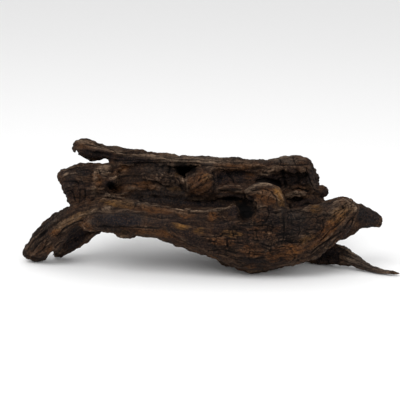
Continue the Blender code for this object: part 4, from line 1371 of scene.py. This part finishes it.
@dataclass
class EbonyTrunk:
    """The trunk: one grown piece, recut, skinned finely, weathered and dressed. Sizes are in millimetres.

    Weathering keeps on the trunk what later steps and the tones need: where each point lies in the
    photograph and which way it faces, its place along the fibres, its streaks, its checks, how
    cracked it is, and how worn it is, with ridges painted pale partly as painted highlight.
    """

    camera: PhotoCamera
    sizes: Weather = Weather()
    stains: StainsAndPaintedLight = StainsAndPaintedLight()
    node: str = "ebony_trunk"
    skin_size: float = 1.05
    grain_margin: float = 12.0
    most_triangles: int = 198_000
    seed: int = 11
    noises: int = 12
    hidden_knots: int = 16
    knots_along: tuple[float, float] = (-170, 130)
    knots_up: tuple[float, float] = (20, 120)
    knot_radii: tuple[float, float] = (4, 11)
    far_back: float = 300

    def build(self) -> bpy.types.Object:
        """Make the finished trunk.

        Returns:
            The piece that stands for the CAD node.
        """
        skin = Skin(self.rough_out())
        LOG.info("skinned: %d points", len(skin.points))
        start = skin.points.copy()
        self.weather(skin)
        fields = self.tint(skin, start)
        LOG.info("weathered")
        piece = self.finish_mesh(skin, fields)
        piece.data.materials.append(WeatheredEbony().make())
        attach(piece, "root")
        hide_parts(self.node)
        return piece

    def rough_out(self) -> bpy.types.Mesh:
        """Copy the CAD solid, add its splinters, take out its slits and skin it finely.

        Returns:
            A closed mesh of small quads.
        """
        shape = bmesh.new()
        shape.from_mesh(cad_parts[self.node].data)
        bmesh.ops.remove_doubles(shape, verts=shape.verts, dist=1e-6)
        wood = self.held(shape, ADDED, "wood")
        slits = self.held(bmesh.new(), REMOVED, "slits")
        fused = wood.modifiers.new("fused", "REMESH")
        fused.mode, fused.voxel_size = "VOXEL", self.skin_size * MM
        opened = wood.modifiers.new("opened", "BOOLEAN")
        opened.operation, opened.solver, opened.object = "DIFFERENCE", "EXACT", slits
        skinned = wood.modifiers.new("skinned", "REMESH")
        skinned.mode, skinned.voxel_size = "VOXEL", self.skin_size * MM
        mesh = bpy.data.meshes.new_from_object(wood.evaluated_get(bpy.context.evaluated_depsgraph_get()))
        for helper in (wood, slits):
            bpy.data.objects.remove(helper)
        self.drop_crumbs(mesh)
        return mesh

    def held(self, shape: bmesh.types.BMesh, slivers: list[Sliver], name: str) -> bpy.types.Object:
        """Add slivers to a bmesh, and hold it as an object that isn't rendered.

        Args:
            shape: The bmesh, which is freed.
            slivers: What is added.
            name: The object's name.

        Returns:
            The object.
        """
        for sliver in slivers:
            sliver.loft(shape, self.camera)
        bmesh.ops.recalc_face_normals(shape, faces=shape.faces)
        made = show(name, shape)
        made.hide_render = True
        return made

    @staticmethod
    def drop_crumbs(mesh: bpy.types.Mesh) -> None:
        """Delete every bit that the cuts left loose.

        Args:
            mesh: The skinned wood, which is changed.
        """
        one, other = read_rows(mesh.edges, "vertices", 2, np.int32).T
        # Each point takes the lowest number that it can reach, so a loose bit keeps a number of its own.
        owner = np.arange(len(mesh.vertices))
        settled = False
        while not settled:
            lower = owner.copy()
            np.minimum.at(lower, one, owner[other])
            np.minimum.at(lower, other, owner[one])
            lower = lower[lower]
            settled = np.array_equal(lower, owner)
            owner = lower
        trunk = np.bincount(owner).argmax()
        shape = bmesh.new()
        shape.from_mesh(mesh)
        crumbs = [vert for vert, bit in zip(shape.verts, owner) if bit != trunk]
        LOG.info("loose bits dropped: %d points", len(crumbs))
        bmesh.ops.delete(shape, geom=crumbs, context="VERTS")
        shape.to_mesh(mesh)
        shape.free()

    def weather(self, skin: Skin) -> None:
        """Carve growth and weather into the skin, from the broad forms to the fibres.

        Args:
            skin: The surface, which is changed. What its tones need is kept on the trunk.
        """
        places = skin.points.copy()
        self.spots, self.depths = self.camera.pixels(places)
        self.facing = skin.outward(6)
        self.tree = BVHTree.FromPolygons([Vector(p) for p in skin.points], skin.faces.tolist())
        self.noise = [SolidNoise(self.seed + i) for i in range(self.noises)]
        self.textures = {kind: self.patched(kind) for kind in Texture}
        kept = self.textures[Texture.KEPT]
        even = skin.smoothed(skin.points, 10)
        least = self.sizes.sharpness
        skin.points = even + (least + (1 - least) * kept)[:, None] * (skin.points - even)
        facing = skin.outward(6)
        self.hidden = 1 - self.seen(facing)
        margin = self.grain_margin
        grain = Grain(GRAIN_LINES, self.knots(), places.min(0) - margin, places.max(0) + margin)
        self.threads = grain.thread_places(places)
        LOG.info("grain laid")
        heights = np.zeros(len(places))
        fissures = self.raise_fibres(grain, places, heights)
        checks, fine_checks = self.open_checks(places, heights)
        seams = self.crumble(places, heights)
        splits = self.split_ends(grain, places, facing, heights)
        # The weights say how black each kind of crack is.
        self.cracks = np.clip(
            0.7 * splits + 0.6 * fissures + 0.8 * checks + 0.45 * fine_checks + 0.5 * seams, 0, 1)
        skin.push(heights * self.standing(places), facing)
        self.carve(skin, places)

    @staticmethod
    def seen(facing: np.ndarray) -> np.ndarray:
        """How far outward directions look towards the camera, with what faces up counted in part, from 0 to 1."""
        return ease(-facing[:, 1] + 0.3 * facing[:, 2], -0.35, 0.0)

    @staticmethod
    def standing(places: np.ndarray) -> np.ndarray:
        """How freely the surface may move: not where it touches the ground, and fully from 3 mm above it."""
        return ease(places[:, 2], 0.2, 3.0)

    def raise_fibres(self, grain: Grain, places: np.ndarray, heights: np.ndarray) -> np.ndarray:
        """Raise lumps and streaks that follow the fibres, and open long fissures between them.

        Args:
            grain: The way the fibres run.
            places: The surface's points before any weather.
            heights: How far each point moves outwards, which is changed.

        Returns:
            How much of a fissure each point is.
        """
        sizes = self.sizes
        broad, furrow, rib, fibre, tone = grain.streaks(
            places, [(self.noise[number], width, reach) for number, width, reach in sizes.streaks])
        LOG.info("streaks drawn")
        self.streak, self.fibre, self.tone = furrow, fibre, tone
        smooth, fibrous, kept = (self.textures[kind] for kind in (Texture.SMOOTH, Texture.FIBROUS, Texture.KEPT))
        rough = (1 - 0.7 * smooth) * (1 - 0.6 * kept)
        grit = self.noise[7].fractal(places / sizes.grit_size, 2)
        self.knobbly = self.noise[8].fractal(places / sizes.knob_size, 2)
        heights += sizes.lump_height * self.noise[5].fractal(places / sizes.lump_size, 3) * rough
        heights += sizes.knob_height * self.knobbly * rough
        heights += rough * (
            sizes.broad_height * np.tanh(broad) + (sizes.furrow_height + 0.35 * fibrous) * np.tanh(1.2 * furrow)
            + (sizes.rib_height + 0.3 * fibrous) * rib + sizes.fibre_height * fibre)
        heights += (0.12 + 0.5 * rough) * grit * (0.6 + 0.4 * np.abs(self.knobbly))
        # Fissures follow the lines where broad streaks change sign. There are more of them behind.
        where = ease(self.noise[6].fractal(places / sizes.fissured_area, 2), -0.1, 0.5)
        where = np.clip(where + 0.5 * self.hidden * ease(self.knobbly, -0.3, 0.5), 0, 1)
        fissures = np.exp(-((np.abs(furrow + 0.3 * fibre) / sizes.fissure_width) ** 2))
        fissures = fissures * where * (1 - smooth) * (1 - kept)
        heights -= (sizes.fissure_depth + sizes.deeper_behind * self.hidden) * fissures
        return fissures

    def open_checks(self, places: np.ndarray, heights: np.ndarray) -> tuple[np.ndarray, np.ndarray]:
        """Dry the wood into blocks, a few millimetres wide and longer along the grain.

        Args:
            places: The surface's points before any weather.
            heights: How far each point moves outwards, which is changed.

        Returns:
            How much of a check, and how much of a fine check, each point is.
        """
        sizes = self.sizes
        self.warp = np.stack([self.noise[7 + a].read(places / sizes.bend_size) for a in range(3)], 1)
        bent = self.threads + sizes.bend * self.warp
        gap, number = self.noise[8].blocks(bent * (1 / np.array(sizes.block)))
        small_gap, _ = self.noise[9].blocks(bent * (1 / np.array(sizes.small_block)) + 5)
        some = ease(self.noise[10].fractal(places / sizes.checked_area, 2), 0.0 - 0.3 * self.hidden, 0.6)
        some = some * (0.6 + 0.35 * self.hidden) * (1 - self.textures[Texture.SMOOTH])
        self.checked = np.clip(self.textures[Texture.CHECKED] + some, 0, 1) * (1 - self.textures[Texture.KEPT])
        open_here = ease(self.noise[6].fractal(places / sizes.open_area, 2) + 0.25, 0.0, 0.6)
        checks = (1 - ease(gap, 0.0, 0.17)) ** 1.5 * self.checked * open_here
        fine_checks = (1 - ease(small_gap, 0.0, 0.16)) ** 1.5 * self.checked * ease(number, -0.2, 0.5)
        heights -= sizes.check_depth * checks + sizes.fine_check_depth * fine_checks
        heights += sizes.block_height * number * self.checked
        return checks, fine_checks

    def crumble(self, places: np.ndarray, heights: np.ndarray) -> np.ndarray:
        """Rot the wood into lumps with dark seams between them.

        Args:
            places: The surface's points before any weather.
            heights: How far each point moves outwards, which is changed.

        Returns:
            How much of a seam each point is.
        """
        sizes = self.sizes
        some = 0.6 * ease(self.noise[11].fractal(places / sizes.crumbled_area, 2), 0.15, 0.7)
        crumbled = np.clip(self.textures[Texture.CRUMBLED] + some, 0, 1) * (1 - self.textures[Texture.KEPT])
        gap, number = self.noise[2].blocks((places + sizes.crumb_bend * self.warp) / np.array(sizes.crumb), 2.2)
        heights += crumbled * (sizes.crumb_height * ease(gap, 0.0, 0.5) - 0.9 + 0.7 * number)
        return (1 - ease(gap, 0.0, 0.14)) * crumbled

    def split_ends(
            self, grain: Grain, places: np.ndarray, facing: np.ndarray, heights: np.ndarray,
    ) -> np.ndarray:
        """Where the fibres end, show the wood's rings and split it from its heart outwards.

        Args:
            grain: The way the fibres run.
            places: The surface's points before any weather.
            facing: Outward directions.
            heights: How far each point moves outwards, which is changed.

        Returns:
            How much of a split each point is.
        """
        sizes = self.sizes
        ends = ease(np.abs(np.sum(grain.at(places) * facing, 1)), 0.6, 0.9)
        ends = ends * (1 - 0.5 * self.textures[Texture.SMOOTH])
        radius = np.hypot(self.threads[:, 1], self.threads[:, 2])
        angle = np.arctan2(self.threads[:, 2], self.threads[:, 1])
        heights += sizes.ring_height * ends * np.sin(radius * (2 * np.pi / sizes.ring_width) + 2.5 * self.knobbly)
        # Noise on a ring changes sign at a few angles, and a split opens at each.
        ring, along = sizes.split_ring, sizes.split_length
        wheel = np.column_stack((ring * np.cos(angle), ring * np.sin(angle), radius / along))
        spokes = self.noise[1].fractal(wheel, 2)
        splits = np.exp(-((spokes / sizes.split_width) ** 2)) * ends * ease(radius, 1.0, 6.0)
        heights -= sizes.split_depth * splits
        return splits

    def knots(self) -> list[Knot]:
        """Find the places where twigs once grew.

        Returns:
            The knots that the photograph shows, and some on the back.
        """
        found = []
        for px, row, radius in SEEN_KNOTS:
            spot = self.strike(px, row)
            if spot:
                found.append(Knot(tuple(spot[0]), tuple(spot[1]), radius))
        draws = np.random.default_rng(self.seed)
        for _ in range(self.hidden_knots):
            x, z = draws.uniform(*self.knots_along), draws.uniform(*self.knots_up)
            hit, normal, _, _ = self.tree.ray_cast(Vector((x, self.far_back, z)), Vector((0, -1, 0)))
            if hit:
                found.append(Knot(tuple(hit), tuple(normal), draws.uniform(*self.knot_radii)))
        return found

    def strike(self, px: float, row: float) -> tuple[Vector, Vector] | None:
        """The point that a pixel of the photograph sees on the wood, and the outward direction there."""
        hit, normal, _, _ = self.tree.ray_cast(self.camera.eye / MM, self.camera.ray(px, row))
        return (hit, normal) if hit else None

    def strike_edge(self, px: float, row: float, seek_near: bool) -> tuple[Vector, Vector] | None:
        """Strike a dot, and if asked, prefer wood beside it that stands well in front of what is hit.

        Args:
            px: Pixel column.
            row: Pixel row.
            seek_near: Whether the dots around this one are tried as well.

        Returns:
            The place and the outward direction there, or nothing where no wood is seen.
        """
        first = self.strike(px, row)
        if not seek_near:
            return first
        beside, in_front = 1.4, 5.0
        ways = ((0, beside), (beside, 0), (-beside, 0), (0, -beside))
        around = [self.strike(px + across, row + down) for across, down in ways]
        found = [spot for spot in around if spot and (first is None or spot[0].y < first[0].y - in_front)]
        return min(found, key=lambda spot: spot[0].y) if found else first

    def patched(self, kind: Tone | Texture) -> np.ndarray:
        """Lay down all patches of a kind.

        Args:
            kind: The tone or texture.

        Returns:
            Its strength at each point, from 0 to 1.
        """
        total = np.zeros(len(self.spots))
        seen = self.seen(self.facing)
        # Noise frays the patches' edges, at a size in pixels across the view and in millimetres along it.
        fray_px, fray_depth, fray_share = 5.0, 12.0, 0.3
        fray = self.noise[3].fractal(np.column_stack((self.spots / fray_px, self.depths / fray_depth)), 3)
        full, gone = 0.55, 1.15
        for patch in PATCHES:
            if patch.kind is not kind:
                continue
            spot = self.strike(patch.px, patch.row)
            middle = self.camera.pixels(np.array([spot[0]]))[1][0] if spot else None
            turn = radians(patch.turn)
            off = self.spots - np.array((patch.px, patch.row))
            along = off[:, 0] * cos(turn) - off[:, 1] * sin(turn)
            across = off[:, 0] * sin(turn) + off[:, 1] * cos(turn)
            behind = 0.0 if middle is None else (self.depths - middle) / patch.reach
            away = np.sqrt((along / patch.long) ** 2 + (across / patch.short) ** 2 + behind**2)
            away = away + fray_share * fray
            share = (1 - ease(away, full, gone)) * seen
            total = np.maximum(total, patch.strength * share)
        return total

    def trail(self, stroke: Stroke) -> np.ndarray:
        """Follow a mark over the wood.

        Args:
            stroke: The mark, drawn over the photograph.

        Returns:
            Close points on the wood with their outward directions, one a row.
        """
        line = np.array(stroke.line, float)
        step = 0.6
        found = []
        for start, end in zip(line[:-1], line[1:]):
            count = max(2, int(np.hypot(*(end - start)) / step))
            for share in np.arange(count) / count:
                spot = self.strike_edge(*(start + share * (end - start)), stroke.mark is Mark.RIDGE)
                if spot:
                    found.append((*spot[0], *spot[1]))
        return np.array(found)

    def carve(self, skin: Skin, places: np.ndarray) -> None:
        """Carve the marks that the photograph shows, line by line.

        Args:
            skin: The surface, which is changed.
            places: Where its points were before any weather.
        """
        # Noise makes the marks wider and narrower every few millimetres.
        wobble_size, wobble_share = 2.5, 0.3
        wobble = 1 + wobble_share * self.noise[1].read(places / wobble_size)
        heights = np.zeros(len(places))
        cracks = np.zeros(len(places))
        wear_and_highlight = np.zeros(len(places))
        up = np.array(self.camera.axes[2])
        for stroke in STROKES:
            trail = self.trail(stroke)
            if len(trail) < 2:
                LOG.warning("a mark at %s misses the wood", stroke.line[0])
                continue
            reach = stroke.width * (LEDGE_REACH if stroke.mark is Mark.LEDGE else LINE_REACH)
            low, high = trail[:, :3].min(0) - reach, trail[:, :3].max(0) + reach
            near = np.flatnonzero(np.all((places > low) & (places < high), axis=1))
            gaps = np.linalg.norm(places[near, None, :] - trail[None, :, :3], axis=2)
            closest = gaps.argmin(1)
            away = gaps[np.arange(len(near)), closest] / (stroke.width * wobble[near])
            agree = np.sum(self.facing[near] * trail[closest, 3:], 1) > -0.1
            ends = np.minimum(closest, len(trail) - 1 - closest) / max(len(trail) - 1, 1)
            taper = ease(ends, -0.02, 0.14)
            if stroke.mark is Mark.CRACK:
                cut = np.clip(1 - away, 0, 1) ** 1.2 * taper * agree
                heights[near] = np.minimum(heights[near], -stroke.depth * cut)
                cracks[near] = np.maximum(cracks[near], ease(cut, 0.05, 0.6))
            elif stroke.mark is Mark.GROOVE:
                cut = (1 - ease(away, 0.0, 1.5)) * taper * agree
                heights[near] = np.minimum(heights[near], -stroke.depth * cut)
                # A groove's floor is painted dark: painted shade.
                cracks[near] = np.maximum(cracks[near], 0.55 * cut**2)
            elif stroke.mark is Mark.RIDGE:
                rise = (1 - ease(away, 0.0, 1.3)) * taper * agree
                heights[near] = np.maximum(heights[near], stroke.depth * rise)
                # A narrow ridge is painted pale all over, and a broad one only in part, as wear and in part as
                # painted highlight.
                wear_and_highlight[near] = np.maximum(wear_and_highlight[near], rise**1.5 * min(1.0, 1.8 / stroke.width))
            elif stroke.mark is Mark.LEDGE:
                above = np.sum((places[near] - trail[closest, :3]) * up, 1)
                rise = ease(above, -0.4, 0.4) * (1 - ease(away, 0.5, 4.0)) * taper * agree
                heights[near] += stroke.depth * rise
                cut = np.clip(1 - away / 0.8, 0, 1) * taper * agree * (above < 0.3)
                heights[near] -= 0.5 * stroke.depth * cut
                # The line under the proud layer is painted dark: painted shade.
                cracks[near] = np.maximum(cracks[near], 0.8 * cut)
                # The proud edge is painted pale, as wear and in part as painted highlight.
                wear_and_highlight[near] = np.maximum(wear_and_highlight[near], 0.5 * rise * (1 - ease(away, 0.2, 1.6)))
        skin.push(heights * self.standing(places), skin.outward(4))
        self.cracks = np.clip(self.cracks * (1 - 0.7 * wear_and_highlight) + cracks, 0, 1)
        self.wear_and_highlight = wear_and_highlight

    def tint(self, skin: Skin, places: np.ndarray) -> dict[str, np.ndarray]:
        """Work out the fields that the wood's material reads.

        Args:
            skin: The weathered surface.
            places: Where its points were before any weather.

        Returns:
            For each field, by name, one row of three numbers for each point.
        """
        warm, yellow, pale, grey, dark, black = (self.patched(kind) for kind in Tone)
        stains = self.stains
        fine, mid, deep = (skin.hollowness(*scale) for scale in (stains.fine, stains.mid, stains.deep))
        edge = ease(-fine, 0.25, 1.2) * 0.5 + ease(-mid, 0.3, 1.3) * 0.5
        # Broad tones of their own vary the side that the photograph doesn't show, and the seen side a little.
        drift = np.stack([self.noise[a].fractal(places / stains.drift_size, 2) for a in (4, 5, 6)], 1)
        roamed = places + stains.drift * drift
        wide = self.noise[4].fractal(roamed / stains.broad_area, 3)
        wild = 0.35 + 0.65 * self.hidden
        warm = np.clip(warm + wild * 0.55 * ease(wide, 0.0, 1.1), 0, 1)
        grey = np.clip(grey + wild * 0.6 * ease(-wide, 0.2, 0.8), 0, 1)
        sallow = ease(self.noise[5].fractal(roamed / stains.yellow_area, 2), 0.4, 0.9)
        yellow = np.clip(yellow + wild * 0.35 * sallow, 0, 1)
        gloomy = self.hidden * 0.4 * ease(self.noise[6].fractal(roamed / stains.dark_area, 2), 0.2, 0.8)
        # Deep hollows are painted dark: painted shade.
        dark = np.clip(dark + 0.8 * ease(deep, 0.35, 1.3) + gloomy, 0, 1)
        # Edges, ridges and single fibres are painted pale, as rubbed wear and in part as painted highlight, and
        # more where they face up: a painted highlight from above.
        streak_light = ease(self.tone + 0.5 * self.fibre, 0.9, 2.4)
        worn = self.wear_and_highlight * (0.35 + 0.55 * ease(self.fibre + 0.7 * self.tone, -0.9, 0.9))
        pale = 0.4 * edge + worn + pale * (
            0.35 + 0.65 * ease(self.tone + 0.6 * self.fibre, -0.6, 1.2)) * 0.8 + 0.25 * streak_light
        top = ease(self.facing[:, 2], 0.1, 0.9)
        pale = np.clip(pale * (0.75 + 0.25 * top) * (1 - 0.8 * dark), 0, 1)
        # Painted shade: hollows at fine and mid sizes are painted near-black.
        hollow = np.clip(0.5 * ease(fine, 0.25, 1.3) + 0.6 * ease(mid, 0.35, 1.6), 0, 1)
        # Painted shade: the insides of holes are painted black through the crack field.
        crack = np.maximum(0.85 * self.cracks, 0.96 * black)
        streak = np.clip(0.5 + (0.55 * self.streak + 0.45 * self.tone + 0.35 * self.fibre) / 3.2, 0, 1)
        return {
            "wood_tones_and_painted_highlight": np.column_stack((warm, yellow, pale)),
            "wood_shades_and_painted_shade": np.column_stack((grey, dark, crack)),
            "wood_wear_and_painted_shade": np.column_stack((streak, hollow, 0.9 * self.checked)),
            "grain_places": self.threads,
        }

    def finish_mesh(self, skin: Skin, fields: dict[str, np.ndarray]) -> bpy.types.Object:
        """Make the weathered surface into an object with no more faces than a piece may have.

        Args:
            skin: The weathered surface.
            fields: What the material reads, for each point.

        Returns:
            The finished, undressed object.
        """
        mesh = bpy.data.meshes.new("weathered_trunk")
        mesh.from_pydata((skin.points * MM).tolist(), [], skin.faces.tolist())
        rough = show("rough", mesh)
        fewer = rough.modifiers.new("fewer_faces", "DECIMATE")
        fewer.ratio = min(1.0, self.most_triangles / (2 * len(skin.faces)))
        fewer.use_collapse_triangulate = True
        final = bpy.data.meshes.new_from_object(rough.evaluated_get(bpy.context.evaluated_depsgraph_get()))
        bpy.data.objects.remove(rough)
        tree = KDTree(len(skin.points))
        for index, point in enumerate(skin.points):
            tree.insert(point, index)
        tree.balance()
        nearest = np.array([tree.find(v.co / MM)[1] for v in final.vertices])
        for name, rows in fields.items():
            held = final.attributes.new(name, "FLOAT_VECTOR", "POINT")
            held.data.foreach_set("vector", rows[nearest].astype(np.float32).ravel())
        final.polygons.foreach_set("use_smooth", [True] * len(final.polygons))
        final.name = "weathered_trunk"
        LOG.info("finished: %d triangles", len(final.polygons))
        return show("weathered_trunk", final)


def main() -> None:
    """Build the camera, the studio and the trunk."""
    logging.basicConfig(level=logging.INFO, format="%(relativeCreated)d %(message)s")
    camera = PhotoCamera()
    camera.place()
    Studio().build()
    trunk = EbonyTrunk(camera).build()
    LOG.info("%s built", trunk.name)


if __name__ == "__main__":
    main()
